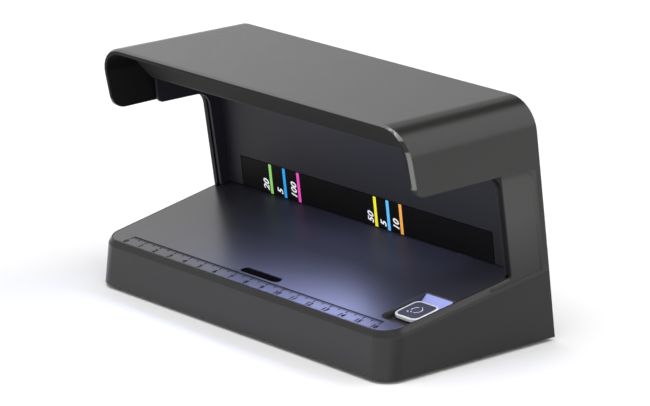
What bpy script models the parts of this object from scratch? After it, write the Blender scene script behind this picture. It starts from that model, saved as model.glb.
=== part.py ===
"""Counterfeit banknote detector: a desk unit with a lamp hood over an inclined deck.

Lengths are written in millimetres and become metres when a mesh is made.
In the bench frame X runs across the unit, Y runs rearwards from the lower front
edge of the base and Z runs up from the lower edge of the base. The deck frame
lies on the deck with its own Z along the deck's normal. The empty base_frame
carries both and puts the world origin under the middle of the unit, at the
height of the feet.
"""

import math

import bmesh
import bpy
from mathutils import Matrix, Vector

MM = 0.001
GAP = 0.3

# Hood and column
HOOD_HALF_WIDTH = 97.0
HOOD_HALF_REAR = 96.2
HOOD_TOP = 105.0
HOOD_CORNER_RADIUS = 13.5
HOOD_WALL = 2.4
HOOD_FRONT_Y = 5.7
HOOD_FRONT_LEAN = 0.225
RIM_CHAMFER_DEPTH = 0.9
RIM_CHAMFER_LENGTH = 1.7
SKIRT_BOTTOM = 75.2
SKIRT_RISE = 0.011
SKIRT_CORNER_RADIUS = 8.0
REAR_LEAN = 0.14
REAR_WALL = 2.4
PILLAR_FRONT_Y = 73.7
PILLAR_LEAN = 0.16
PILLAR_FILLET_RADIUS = 7.5
PILLAR_INNER_HALF = 92.2
RECESS_HALF = 94.6
RECESS_FLARE = 0.05
RECESS_REAR = 2.6
RECESS_REAR_RAMP = 2.0
RECESS_CORNER_RADIUS = 7.0

# Base
BASE_DEPTH = 94.1
BASE_HALF_FRONT = 93.6
BASE_HALF_REAR = 96.0
BASE_CORNER_RADIUS = 10.0
BASE_WALL = 2.2
RIM_HALF_FRONT = 92.6
RIM_HALF_REAR = 96.2
RIM_DROP = 2.2
RIM_INSET = 1.5
FOOT_HEIGHT = 1.5
FOOT_RADIUS = 5.0
FOOT_SEAT = 0.8
FOOT_PLACES = {"front_left": (-78.0, 14.0), "front_right": (78.0, 14.0),
               "rear_left": (-78.0, 82.0), "rear_right": (78.0, 82.0)}
COVER_THICKNESS = 2.0
COVER_REAR_Y = 91.0

# Deck
DECK_FRONT_Y = 3.0
DECK_FRONT_Z = 20.1
DECK_SLOPE = 0.162
DECK_THICKNESS = 2.0
DECK_NARROW_Y = 68.3
DECK_NARROW_HALF = 91.6
DECK_REAR_Y = 77.5
DECK_CLEARANCE = 0.15
DECK_POSTS = ((-68.0, 16.0), (68.0, 16.0), (-80.0, 62.0), (80.0, 62.0))
DECK_POST_RADIUS = 3.6

# Chamber liner
CHAMBER_HALF = 90.2
LINER_HALF = 91.8
LINER_WALL = 1.8
CEILING_Z = 86.3
BAND_FOOT_Y = 33.0
BAND_TOP = 101.3
BAND_THICKNESS_Y = 2.5
CHAMBER_REAR_Y = 78.7
CHAMBER_REAR_LEAN = 0.129
CHEEK_FRONT_Y = 33.4
CHEEK_DROP = 0.55
CHEEK_CORNER_RADIUS = 3.0
LINER_SETBACK = 0.6
LINER_BOSS_RADIUS = 3.2
REAR_SCREW_SEAT = -1.2
REAR_SCREW_PLACES = ((-60.0, 44.0), (60.0, 44.0), (-60.0, 80.0), (60.0, 80.0))

# Button and its pocket, in the deck frame
BUTTON_PLACE = (82.65, 24.25)
BUTTON_SIZE = (14.3, 15.3)
BUTTON_CORNER = 3.5
BUTTON_SUNK = 1.0
BUTTON_THICKNESS = 1.7
BUTTON_RIM = 1.0
BUTTON_TRAVEL = 0.5
FACE_THICKNESS = 0.5
POCKET_X = (74.9, 90.15)
POCKET_V = (9.8, 37.4)
POCKET_FRONT_CORNER = 4.0
POCKET_REAR_CORNER = 1.5
POCKET_RAMP_V = 31.8
POCKET_DEPTH = 3.5
POCKET_WALL = 0.6
POCKET_FLOOR = 1.6
POCKET_STEP_X = (86.0, 94.0)
POCKET_STEP_DEPTH = 1.3
STEM_RADIUS = 2.0
STEM_END = -6.9

# Switch under the button, in the deck frame
SWITCH_TOP = -8.2
SWITCH_SIZE = 6.2
SWITCH_HEIGHT = 3.5
PLUNGER_RADIUS = 1.7
PLUNGER_LENGTH = 2.0
SWITCH_POST_RADIUS = 2.3
SWITCH_BOARD_X = (75.0, 89.4)
SWITCH_BOARD_V = (8.5, 39.0)
SWITCH_POSTS = ((82.4, 11.6), (82.4, 36.2))

# Sensor under the slot, in the deck frame
SLOT_PLACE = (1.0, 11.0)
SLOT_SIZE = (24.5, 4.3)
SENSOR_POST_REACH = 17.2
SENSOR_POST_RADIUS = 2.5
SLOT_WINDOW_FLANGE = (1.75, 0.8)
HEAD_SIZE = (20.0, 4.0, 5.0)
BRACKET_SIZE = (40.0, 7.0, 1.0)

# Thread guide label, in the frame of the chamber's rear wall
LABEL_X = (-81.0, 79.0)
LABEL_HEIGHT = (0.6, 14.4)
LABEL_THICKNESS = 0.25
LABEL_RECESS = 0.5

# Lamp
LAMP_Y = 50.0
WINDOW_OPENING = (146.0, 22.0)
WINDOW_SIZE = (152.0, 28.0)
WINDOW_THICKNESS = 1.5
LAMP_BOARD_Z = 93.0
LAMP_BOARD_SIZE = (172.0, 20.0)
LAMP_POSTS = ((-82.0, 43.0), (82.0, 43.0), (-82.0, 57.0), (82.0, 57.0))
LED_COUNT = 6
LED_PITCH = 25.0
LED_SIZE = 5.0
LED_HEIGHT = 1.6
LED_LENS = 0.5
LED_CONNECTOR_PLACE = (34.0, 53.5)

# Boards in the base
BOARD_THICKNESS = 1.6
CONTROL_BOARD_X = (8.0, 68.0)
CONTROL_BOARD_Y = (50.0, 83.0)
CONTROL_BOARD_Z = 6.3
CONTROL_POSTS = ((12.0, 54.0), (64.0, 54.0), (12.0, 79.0), (64.0, 79.0))
PARTS_Z = CONTROL_BOARD_Z + BOARD_THICKNESS + GAP
JACK_X = 56.0
JACK_SIZE = (9.0, 12.2, 11.0)
JACK_REAR_Y = 88.2
JACK_NOSE_RADIUS = 4.2
JACK_BORE_RADIUS = 2.9
JACK_PIN_RADIUS = 1.0
JACK_BORE_DEPTH = 6.0
JACK_NOSE_SETBACK = 0.6
CONNECTOR_HEIGHT = 6.0
CONNECTORS = {"lamp_connector": (34.0, 78.0, 8.0), "sensor_connector": (16.0, 60.5, 6.0),
              "switch_connector": (62.0, 62.0, 6.0)}
CONNECTOR_DEPTH = 5.0
CHIP_PLACE = (32.0, 62.0)
CHIP_SIZE = (10.0, 10.0, 1.6)
CAPACITOR_PLACE = (44.5, 76.0)
CAPACITOR_SIZE = (4.0, 10.0)
BUZZER_PLACE = (21.0, 73.0)
BUZZER_SIZE = (6.0, 7.0)
BUZZER_MOUTH = 1.2

# Internal leads, by diameter
LAMP_LEAD = 2.4
THIN_LEAD = 1.8

# Screws: shank radius, head radius, head height and shank length
CASE_SCREW = (1.45, 3.0, 1.0, 10.0)
REAR_SCREW = (1.45, 3.0, 1.0, 7.5)
BOARD_SCREW = (1.0, 2.2, 1.4, 5.0)
POST_RADIUS = 2.6
PILOT_RADIUS = 1.3
THROUGH_RADIUS = 1.4
PILOT_STEPS = 12

CUT_OVERLAP = 0.02
ARC_STEPS = 8
CIRCLE_STEPS = 20


def rear_y(z):
    """Y of the leaning rear face at height z."""
    return BASE_DEPTH - REAR_LEAN * z


def hood_front_y(z):
    """Y of the front edge of the hood at height z."""
    return HOOD_FRONT_Y + HOOD_FRONT_LEAN * (HOOD_TOP - z)


def pillar_front_y(z):
    """Y of the front edge of the side pillars at height z."""
    return PILLAR_FRONT_Y - PILLAR_LEAN * z


def chamber_rear_y(z):
    """Y of the wall at the rear of the chamber at height z."""
    return CHAMBER_REAR_Y - CHAMBER_REAR_LEAN * z


def wall_foot_z():
    """Height where the chamber's rear wall meets the deck."""
    return (deck_z(0.0) + DECK_SLOPE * CHAMBER_REAR_Y) / (1.0 + DECK_SLOPE * CHAMBER_REAR_LEAN)


def skirt_z(y):
    """Height of the lower edge of the hood's side skirts at y."""
    return SKIRT_BOTTOM + SKIRT_RISE * y


def deck_z(y):
    """Height of the deck's upper face at y."""
    return DECK_FRONT_Z + DECK_SLOPE * (y - DECK_FRONT_Y)


def rim_z(y):
    """Height of the lower edge of the base's rim bevel at y."""
    return deck_z(y) - RIM_DROP


def bottom_half(y):
    """Half width of the base at its lower edge."""
    return BASE_HALF_FRONT + (BASE_HALF_REAR - BASE_HALF_FRONT) * y / BASE_DEPTH


def rim_half(y):
    """Half width of the base at the lower edge of its rim bevel."""
    return RIM_HALF_FRONT + (RIM_HALF_REAR - RIM_HALF_FRONT) * y / rear_on_slope(rim_z)


def deck_half(y):
    """Half width of the opening that the deck lies in."""
    return rim_half(y) - RIM_INSET


def rear_on_slope(height):
    """Y where the rear face meets a plane whose height grows with the deck's slope."""
    at_zero = height(0.0)
    return (BASE_DEPTH - REAR_LEAN * at_zero) / (1.0 + REAR_LEAN * DECK_SLOPE)


def arc(center, radius, start, end, steps=ARC_STEPS):
    """Points on an arc in a plane, with angles in degrees."""
    points = []
    for step in range(steps + 1):
        angle = math.radians(start + (end - start) * step / steps)
        points.append((center[0] + radius * math.cos(angle), center[1] + radius * math.sin(angle)))
    return points


def circle(radius, center=(0.0, 0.0), steps=CIRCLE_STEPS):
    """Points round a circle."""
    return arc(center, radius, 0.0, 360.0, steps)[:-1]


def rounded_rectangle(size, radius, center=(0.0, 0.0), steps=ARC_STEPS):
    """Outline of a rectangle with round corners."""
    reach_x = size[0] / 2 - radius
    reach_y = size[1] / 2 - radius
    points = []
    for sign_x, sign_y, start in ((1, 1, 0), (-1, 1, 90), (-1, -1, 180), (1, -1, 270)):
        corner = (center[0] + sign_x * reach_x, center[1] + sign_y * reach_y)
        points += arc(corner, radius, start, start + 90, steps)
    return points


def plan_ring(front, rear, half, radius, height):
    """Ring seen from above: rounded front corners, straight sides and a square rear."""
    side = front + radius
    left = arc((-half(side) + radius, side), radius, 180.0, 270.0)
    right = arc((half(side) - radius, side), radius, 270.0, 360.0)
    outline = [(-half(rear), rear)] + left + right + [(half(rear), rear)]
    return [(x, y, height(y)) for x, y in outline]


def loft(rings):
    """Closed solid through rings of equal length, capped at both ends."""
    solid = bmesh.new()
    layers = [[solid.verts.new(Vector(point) * MM) for point in ring] for ring in rings]
    count = len(rings[0])
    for low, high in zip(layers, layers[1:]):
        for here in range(count):
            there = (here + 1) % count
            solid.faces.new((low[here], low[there], high[there], high[here]))
    solid.faces.new(layers[0][::-1])
    solid.faces.new(layers[-1])
    bmesh.ops.recalc_face_normals(solid, faces=solid.faces)
    return solid


def prism_x(profile, left, right):
    """Solid whose (y, z) profile runs from left to right."""
    return loft([[(x, y, z) for y, z in profile] for x in (left, right)])


def prism_y(profile, front, rear):
    """Solid whose (x, z) profile runs from front to rear."""
    return loft([[(x, y, z) for x, z in profile] for y in (front, rear)])


def prism_z(outline, low, high):
    """Solid whose (x, y) outline runs from low to high."""
    return loft([[(x, y, z) for x, y in outline] for z in (low, high)])


def box(x_range, y_range, z_range):
    """Rectangular solid between three pairs of limits."""
    outline = [(x_range[0], y_range[0]), (x_range[1], y_range[0])]
    outline += [(x_range[1], y_range[1]), (x_range[0], y_range[1])]
    return prism_z(outline, z_range[0], z_range[1])


def turned(profile, center=(0.0, 0.0), steps=CIRCLE_STEPS):
    """Round solid from (radius, z) pairs, listed from the bottom up."""
    rings = []
    for radius, z in profile:
        rings.append([(x, y, z) for x, y in circle(radius, center, steps)])
    return loft(rings)


def grouped(solids):
    """One mesh that holds several separate solids."""
    group = bmesh.new()
    for solid in solids:
        part = bpy.data.meshes.new("part")
        solid.to_mesh(part)
        solid.free()
        group.from_mesh(part)
        bpy.data.meshes.remove(part)
    return group


def make_material(name, color, roughness, metallic=0.0):
    """Principled material of one colour."""
    material = bpy.data.materials.new(name)
    material.use_nodes = True
    shader = material.node_tree.nodes["Principled BSDF"]
    shader.inputs["Base Color"].default_value = (*color, 1.0)
    shader.inputs["Roughness"].default_value = roughness
    shader.inputs["Metallic"].default_value = metallic
    return material


def add_empty(name, parent=None, location=(0.0, 0.0, 0.0), tilt=0.0):
    """Empty that carries other objects; tilt turns it about X, in radians."""
    empty = bpy.data.objects.new(name, None)
    bpy.context.scene.collection.objects.link(empty)
    empty.parent = parent
    empty.location = Vector(location) * MM
    empty.rotation_euler = (tilt, 0.0, 0.0)
    return empty


def add_solid(name, solid, material, parent, location=(0.0, 0.0, 0.0), tilt=0.0):
    """Object made of a bmesh solid, with smooth round faces and sharp edges."""
    mesh = bpy.data.meshes.new(name)
    solid.to_mesh(mesh)
    solid.free()
    mesh.shade_smooth()
    mesh.set_sharp_from_angle(angle=math.radians(30.0))
    item = bpy.data.objects.new(name, mesh)
    bpy.context.scene.collection.objects.link(item)
    item.parent = parent
    item.location = Vector(location) * MM
    item.rotation_euler = (tilt, 0.0, 0.0)
    if material is not None:
        mesh.materials.append(material)
    return item


def add_form(name, solid, parent, location=(0.0, 0.0, 0.0), tilt=0.0):
    """Helper solid that cuts or extends another, and is no part of the unit."""
    form = add_solid(name, solid, None, parent, location, tilt)
    form.hide_render = True
    form.display_type = "WIRE"
    return form


def add_boolean(target, form, operation):
    """Boolean modifier on target."""
    modifier = target.modifiers.new(form.name, "BOOLEAN")
    modifier.operation = operation
    modifier.object = form


def cut(target, form):
    """Takes the form away from target."""
    add_boolean(target, form, "DIFFERENCE")


def join(target, form):
    """Adds the form to target."""
    add_boolean(target, form, "UNION")


def aimed_at_rear(solid, x, z):
    """Moves a solid made along Z to the rear face at (x, z), its Z along the face's normal."""
    lean = math.atan(REAR_LEAN)
    turn = Matrix.Rotation(lean - math.pi / 2, 4, "X")
    place = Matrix.Translation(Vector((x, rear_y(z), z)) * MM)
    bmesh.ops.transform(solid, matrix=place @ turn, verts=solid.verts)
    return solid


def aimed_along_y(solid, x, y, z):
    """Moves a solid made along Z to a place, its Z towards the rear."""
    turn = Matrix.Rotation(-math.pi / 2, 4, "X")
    place = Matrix.Translation(Vector((x, y, z)) * MM)
    bmesh.ops.transform(solid, matrix=place @ turn, verts=solid.verts)
    return solid


def add_numbered(name, solids, material, parent):
    """One object for each of several identical pieces, numbered from 1."""
    for number, solid in enumerate(solids, start=1):
        add_solid(name + "_" + str(number), solid, material, parent)


def screw(kind, place, seat, upwards):
    """Screw along Z whose head bears on the height seat; its shank runs up or down from there."""
    shank, head, height, length = kind
    profile = [(shank, -length), (shank, 0.0), (head, 0.0), (head, height - 0.3), (head * 0.8, height)]
    if upwards:
        profile = [(radius, -level) for radius, level in reversed(profile)]
    return turned([(radius, seat + level) for radius, level in profile], place, 16)


def hole(radius, place, low, high):
    """Small round cutter along Z."""
    return turned([(radius, low), (radius, high)], place, PILOT_STEPS)


def post(radius, place, low, high):
    """Round post along Z."""
    return turned([(radius, low), (radius, high)], place)


def hood_section(half, top, radius, low_points):
    """Hood outline in X and Z: rounded upper corners over the given low points."""
    right = arc((half - radius, top - radius), radius, 0.0, 90.0)
    left = arc((radius - half, top - radius), radius, 90.0, 180.0)
    return low_points + right + left + [(-x, z) for x, z in reversed(low_points)]


def base_rings():
    """Rings of the base: lower edge, lower edge of the rim bevel, edge of the deck."""
    bottom = plan_ring(0.0, BASE_DEPTH, bottom_half, BASE_CORNER_RADIUS, lambda y: 0.0)
    rim_front = DECK_FRONT_Y - RIM_INSET
    rim = plan_ring(rim_front, rear_on_slope(rim_z), rim_half, BASE_CORNER_RADIUS, rim_z)
    top_rear = rear_on_slope(deck_z) - RIM_INSET
    top = plan_ring(DECK_FRONT_Y, top_rear, deck_half, BASE_CORNER_RADIUS - RIM_INSET, deck_z)
    return [bottom, rim, top]


def base_cavity_form():
    """Cutter for the hollow of the base, open below."""
    radius = BASE_CORNER_RADIUS - BASE_WALL
    low = plan_ring(BASE_WALL, BASE_DEPTH - REAR_WALL, lambda y: bottom_half(y) - BASE_WALL,
                    radius, lambda y: -1.0)
    front = DECK_FRONT_Y - RIM_INSET + BASE_WALL
    rear = rear_on_slope(deck_z) - REAR_WALL
    high = plan_ring(front, rear, lambda y: rim_half(y) - BASE_WALL, radius, lambda y: deck_z(y) + 1.0)
    return loft([low, high])


def hood_and_column_form():
    """Outer solid of hood and column, from the chamfered front edge to the rear face."""
    def front_ring(inset, shift):
        low = [(RIM_HALF_FRONT - inset, DECK_FRONT_Z), (HOOD_HALF_WIDTH - inset, SKIRT_BOTTOM)]
        half = HOOD_HALF_WIDTH - inset
        section = hood_section(half, HOOD_TOP - inset, HOOD_CORNER_RADIUS - inset, low)
        return [(x, hood_front_y(z) + shift, z) for x, z in section]

    low = [(RIM_HALF_REAR, rim_z(rear_on_slope(rim_z))), (HOOD_HALF_REAR, SKIRT_BOTTOM)]
    section = hood_section(HOOD_HALF_REAR, HOOD_TOP, HOOD_CORNER_RADIUS, low)
    rear = [(x, rear_y(z), z) for x, z in section]
    return loft([front_ring(RIM_CHAMFER_DEPTH, 0.0), front_ring(0.0, RIM_CHAMFER_LENGTH), rear])


def column_foot_form():
    """Short tapered solid that sinks the column's foot into the base."""
    front = DECK_NARROW_Y + 1.9
    rear = rear_on_slope(rim_z)

    def ring(inset, height):
        corners = [(-1, rear - inset), (-1, front), (1, front), (1, rear - inset)]
        return [(side * (rim_half(y) - inset), y, height(y)) for side, y in corners]

    return loft([ring(2.5, lambda y: rim_z(y) - 3.0), ring(2.0, lambda y: rim_z(y) + 3.0)])


def side_opening_fillet(setback, drop):
    """Fillet under the skirt and in front of the pillar, in Y and Z."""
    radius = PILLAR_FILLET_RADIUS
    center_z = skirt_z(55.0) - drop - radius
    center_y = pillar_front_y(center_z) + setback - radius * math.sqrt(1.0 + PILLAR_LEAN ** 2)
    return arc((center_y, center_z), radius, 90.0, math.degrees(math.atan(PILLAR_LEAN)))


def chamber_opening_form():
    """Cutter for the space under the skirts and in front of the pillars."""
    radius = SKIRT_CORNER_RADIUS
    center_z = skirt_z(15.0) + radius
    center_y = hood_front_y(center_z) + radius * math.sqrt(1.0 + HOOD_FRONT_LEAN ** 2) - CUT_OVERLAP
    start = 180.0 + math.degrees(math.atan(HOOD_FRONT_LEAN))
    corner = arc((center_y, center_z), radius, start, 270.0)
    foot = [(pillar_front_y(0.0), 0.0), (pillar_front_y(0.0), -20.0)]
    profile = [(-20.0, -20.0), (-20.0, corner[0][1])] + corner + side_opening_fillet(0.0, 0.0) + foot
    reach = HOOD_HALF_WIDTH + 4.0
    return prism_x(profile, -reach, reach)


def recess_form(side):
    """Cutter for the recess on the outside of one pillar: a flat floor that rises softly at its rear."""
    outside = HOOD_HALF_WIDTH + 3.0
    radius = RECESS_CORNER_RADIUS

    def floor_x(y, z):
        return RECESS_HALF + RECESS_FLARE * (y - pillar_front_y(z))

    def ring(height, setback=0.0):
        rear = rear_y(height(80.0)) - RECESS_REAR - setback
        front = rear + setback - 30.0
        ramp = rear - RECESS_REAR_RAMP
        outline = [(floor_x(front, height(front)), front), (floor_x(ramp, height(ramp)), ramp)]
        outline += [(HOOD_HALF_REAR + 0.15, rear), (outside, rear), (outside, front)]
        return [(side * x, y, height(y)) for x, y in outline]

    rings = [ring(rim_z)]
    for setback, rise in arc((radius, -radius), radius, 180.0, 90.0):
        rings.append(ring(lambda y: skirt_z(y) + rise, setback))
    return loft(rings)


def hood_cavity_form():
    """Cutter for the hollow of the hood, open at the front."""
    half = HOOD_HALF_WIDTH - HOOD_WALL
    section = hood_section(half, HOOD_TOP - HOOD_WALL, HOOD_CORNER_RADIUS - HOOD_WALL, [(half, 60.0)])
    return prism_y(section, -5.0, 58.0)


def column_cavity_form():
    """Cutter for the hollow of the column, open at the front and below."""
    radius = HOOD_CORNER_RADIUS - HOOD_HALF_WIDTH + PILLAR_INNER_HALF
    section = hood_section(PILLAR_INNER_HALF, HOOD_TOP - HOOD_WALL, radius, [(PILLAR_INNER_HALF, -1.0)])
    front = [(x, 52.0, z) for x, z in section]
    rear = [(x, rear_y(z) - REAR_WALL, z) for x, z in section]
    return loft([front, rear])


def deck_outline(inset):
    """Outline of the deck: rounded front corners, and narrower between the pillars."""
    front = DECK_FRONT_Y + inset
    radius = BASE_CORNER_RADIUS - RIM_INSET - inset
    side = front + radius
    wide = deck_half(side) - inset
    narrow = DECK_NARROW_HALF + GAP - inset
    step = DECK_NARROW_Y - inset
    left = [(-narrow, DECK_REAR_Y - inset), (-narrow, step), (inset - deck_half(step), step)]
    right = [(-x, y) for x, y in reversed(left)]
    corners = arc((radius - wide, side), radius, 180.0, 270.0)
    corners += arc((wide - radius, side), radius, 270.0, 360.0)
    return left + corners + right


def deck_slab(inset, low, high):
    """Slab parallel to the deck, between two heights measured from its upper face."""
    outline = deck_outline(inset)
    return loft([[(x, y, deck_z(y) + level) for x, y in outline] for level in (low, high)])


def build_outer_housing(base_frame, plastic):
    """Hood, column and base walls in one moulding."""
    housing = add_solid("outer_housing", loft(base_rings()), plastic, base_frame)
    upper = add_form("hood_and_column_form", hood_and_column_form(), base_frame)
    cut(upper, add_form("chamber_opening_form", chamber_opening_form(), base_frame))
    join(housing, upper)
    join(housing, add_form("column_foot_form", column_foot_form(), base_frame))
    cut(housing, add_form("left_recess_form", recess_form(-1), base_frame))
    cut(housing, add_form("right_recess_form", recess_form(1), base_frame))
    cut(housing, add_form("hood_cavity_form", hood_cavity_form(), base_frame))
    cut(housing, add_form("column_cavity_form", column_cavity_form(), base_frame))
    cut(housing, add_form("base_cavity_form", base_cavity_form(), base_frame))
    seat_form = deck_slab(DECK_CLEARANCE, -DECK_THICKNESS - GAP, 1.5)
    cut(housing, add_form("deck_seat_form", seat_form, base_frame))
    shank, head = REAR_SCREW[:2]
    seat = REAR_SCREW_SEAT - GAP
    holes = []
    for x, z in REAR_SCREW_PLACES:
        profile = [(shank + 2 * GAP, -5.0), (shank + 2 * GAP, seat), (head + GAP, seat), (head + GAP, 2.0)]
        holes.append(aimed_at_rear(turned(profile), x, z))
    jack_z = PARTS_Z + JACK_SIZE[2] / 2
    jack_hole = post(JACK_NOSE_RADIUS + GAP, (0.0, 0.0), 0.0, 12.0)
    holes.append(aimed_along_y(jack_hole, JACK_X, JACK_REAR_Y, jack_z))
    cut(housing, add_form("rear_holes_form", grouped(holes), base_frame))


def liner_side_profile():
    """Side view of the liner's cheeks, ceiling and rear wall."""
    fillet = side_opening_fillet(LINER_SETBACK, CHEEK_DROP)
    cheek_bottom = fillet[0][1]
    corner_z = cheek_bottom + CHEEK_CORNER_RADIUS
    corner = arc((CHEEK_FRONT_Y + CHEEK_CORNER_RADIUS, corner_z), CHEEK_CORNER_RADIUS, 180.0, 270.0)
    foot_y = pillar_front_y(deck_z(68.0)) + LINER_SETBACK
    rear_foot_y = chamber_rear_y(deck_z(76.0)) + LINER_WALL
    ceiling_top = CEILING_Z + LINER_WALL
    profile = [(CHEEK_FRONT_Y - 0.8, CEILING_Z + 0.5)] + corner + fillet
    profile += [(foot_y, deck_z(foot_y) + GAP), (rear_foot_y, deck_z(rear_foot_y) + GAP)]
    profile.append((chamber_rear_y(ceiling_top) + LINER_WALL, ceiling_top))
    return profile + [(CHEEK_FRONT_Y + 0.6, ceiling_top)]


def band_form():
    """Sloping front of the lamp housing, from the ceiling up to the hood."""
    low = CEILING_Z - 0.4
    foot = BAND_FOOT_Y + 0.4
    top = foot - (BAND_TOP - low)
    profile = [(foot, low), (foot + BAND_THICKNESS_Y, low), (top + BAND_THICKNESS_Y, BAND_TOP)]
    profile.append((top, BAND_TOP))
    return prism_x(profile, -HOOD_HALF_WIDTH, HOOD_HALF_WIDTH)


def band_limit_form():
    """Inside of the hood with clearance, which bounds the band."""
    inset = HOOD_WALL + GAP + 0.1
    half = HOOD_HALF_WIDTH - inset
    section = hood_section(half, HOOD_TOP - inset, HOOD_CORNER_RADIUS - inset, [(half, 60.0)])
    return prism_y(section, 0.0, 56.0)


def chamber_form():
    """Cutter for the free space of the chamber inside the liner."""
    low = 10.0
    profile = [(-10.0, low), (-10.0, CEILING_Z), (chamber_rear_y(CEILING_Z), CEILING_Z)]
    profile.append((chamber_rear_y(low), low))
    return prism_x(profile, -CHAMBER_HALF, CHAMBER_HALF)


def build_chamber_liner(base_frame, wall_frame, plastic):
    """Liner: ceiling, sloping front band, cheeks and rear wall in one moulding."""
    body = prism_x(liner_side_profile(), -LINER_HALF, LINER_HALF)
    liner = add_solid("chamber_liner", body, plastic, base_frame)
    band = add_form("band_form", band_form(), base_frame)
    add_boolean(band, add_form("band_limit_form", band_limit_form(), base_frame), "INTERSECT")
    join(liner, band)
    cut(liner, add_form("chamber_form", chamber_form(), base_frame))
    bosses = []
    pilots = []
    for x, z in REAR_SCREW_PLACES:
        middle = (0.0, 0.0)
        boss_end = 1.0 - (rear_y(z) - chamber_rear_y(z)) * math.cos(math.atan(REAR_LEAN))
        boss_top = -REAR_WALL - GAP
        bosses.append(aimed_at_rear(post(LINER_BOSS_RADIUS, middle, boss_end, boss_top), x, z))
        pilot = post(REAR_SCREW[0] + GAP, middle, boss_top - REAR_SCREW[3], 1.0)
        pilots.append(aimed_at_rear(pilot, x, z))
    for place in LAMP_POSTS:
        bosses.append(post(POST_RADIUS, place, CEILING_Z + 1.0, LAMP_BOARD_Z - GAP))
        pilots.append(hole(PILOT_RADIUS, place, LAMP_BOARD_Z - 4.0, LAMP_BOARD_Z + 2.0))
    join(liner, add_form("liner_bosses_form", grouped(bosses), base_frame))
    window = rounded_rectangle(WINDOW_OPENING, 2.0, (0.0, LAMP_Y), 2)
    pilots.append(prism_z(window, CEILING_Z - 2.0, CEILING_Z + 4.0))
    cut(liner, add_form("liner_holes_form", grouped(pilots), base_frame))
    recess_x = (LABEL_X[0] - GAP, LABEL_X[1] + GAP)
    recess = box(recess_x, (-1.0, LABEL_RECESS), (-2.0, LABEL_HEIGHT[1] + GAP))
    cut(liner, add_form("label_recess_form", recess, wall_frame))


def build_label(wall_frame, paper):
    """Strip that shows where each note's security thread lies."""
    strip = box(LABEL_X, (0.0, LABEL_THICKNESS), LABEL_HEIGHT)
    add_solid("thread_guide_label", strip, paper, wall_frame)


def build_deck(base_frame, deck_frame, plastic):
    """Deck plate with its slot, the pocket for the button and the posts beneath."""
    slab = deck_slab(DECK_CLEARANCE + GAP, -DECK_THICKNESS, 0.0)
    plate = add_solid("deck_plate", slab, plastic, base_frame)
    tub_heights = (-POCKET_DEPTH - POCKET_FLOOR, -1.0)
    tub = pocket_prism(POCKET_X, POCKET_V, POCKET_FRONT_CORNER, POCKET_WALL, tub_heights)
    join(plate, add_form("pocket_tub_form", tub, deck_frame))
    join(plate, add_form("deck_posts_form", deck_posts(), base_frame))
    join(plate, add_form("board_posts_form", posts_under_deck(), deck_frame))
    cut(plate, build_pocket_form(deck_frame))
    cut(plate, add_form("deck_holes_form", grouped(holes_in_deck()), deck_frame))
    cut(plate, add_form("deck_pilots_form", grouped(pilots_in_posts()), base_frame))


def pocket_prism(x_range, v_range, corner, extra, z_range):
    """Prism over a rounded rectangle that is widened by an extra width on every side."""
    center = (sum(x_range) / 2, sum(v_range) / 2)
    size = (x_range[1] - x_range[0] + 2 * extra, v_range[1] - v_range[0] + 2 * extra)
    return prism_z(rounded_rectangle(size, corner + extra, center), *z_range)


def build_pocket_form(deck_frame):
    """Cutter for the pocket: round in front, square at the rear, with a step out to the deck's edge."""
    middle = sum(POCKET_V) / 2
    deep = (-POCKET_DEPTH, 3.0)
    front = pocket_prism(POCKET_X, (POCKET_V[0], middle + 4.0), POCKET_FRONT_CORNER, 0.0, deep)
    rear = pocket_prism(POCKET_X, (middle - 4.0, POCKET_V[1]), POCKET_REAR_CORNER, 0.0, deep)
    step = pocket_prism(POCKET_STEP_X, POCKET_V, POCKET_REAR_CORNER, 0.0, (-POCKET_STEP_DEPTH, 3.5))
    pocket = add_form("pocket_front_form", front, deck_frame)
    join(pocket, add_form("pocket_rear_form", rear, deck_frame))
    join(pocket, add_form("pocket_step_form", step, deck_frame))
    cut(pocket, add_form("ramp_form", ramp_form(), deck_frame))
    return pocket


def ramp_form():
    """Wedge that stays at the rear end of the pocket and makes its floor rise to the deck."""
    rear = POCKET_V[1]
    low = -POCKET_DEPTH - 4.0
    profile = [(POCKET_RAMP_V, -POCKET_DEPTH), (rear + 0.1, 0.0), (rear + 4.0, 0.0), (rear + 4.0, low)]
    profile.append((POCKET_RAMP_V, low))
    return prism_x(profile, POCKET_X[0] - 3.0, POCKET_STEP_X[1] + 3.0)


def deck_posts():
    """Posts for the screws of the bottom cover."""
    posts = []
    for x, y in DECK_POSTS:
        top = deck_z(y) - DECK_THICKNESS + 0.7
        posts.append(post(DECK_POST_RADIUS, (x, y), COVER_THICKNESS + GAP, top))
    return grouped(posts)


def pilots_in_posts():
    """Holes for the screws of the bottom cover."""
    radius = CASE_SCREW[0] + GAP
    return [hole(radius, place, 0.0, CASE_SCREW[3] + 2.0) for place in DECK_POSTS]


def posts_under_deck():
    """Posts for the switch board and for the sensor bracket."""
    posts = []
    for place in SWITCH_POSTS:
        posts.append(post(SWITCH_POST_RADIUS, place, SWITCH_TOP - SWITCH_HEIGHT, -POCKET_DEPTH - 1.0))
    for place in sensor_post_places():
        posts.append(post(SENSOR_POST_RADIUS, place, sensor_bracket_top() + GAP, -1.0))
    return grouped(posts)


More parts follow.
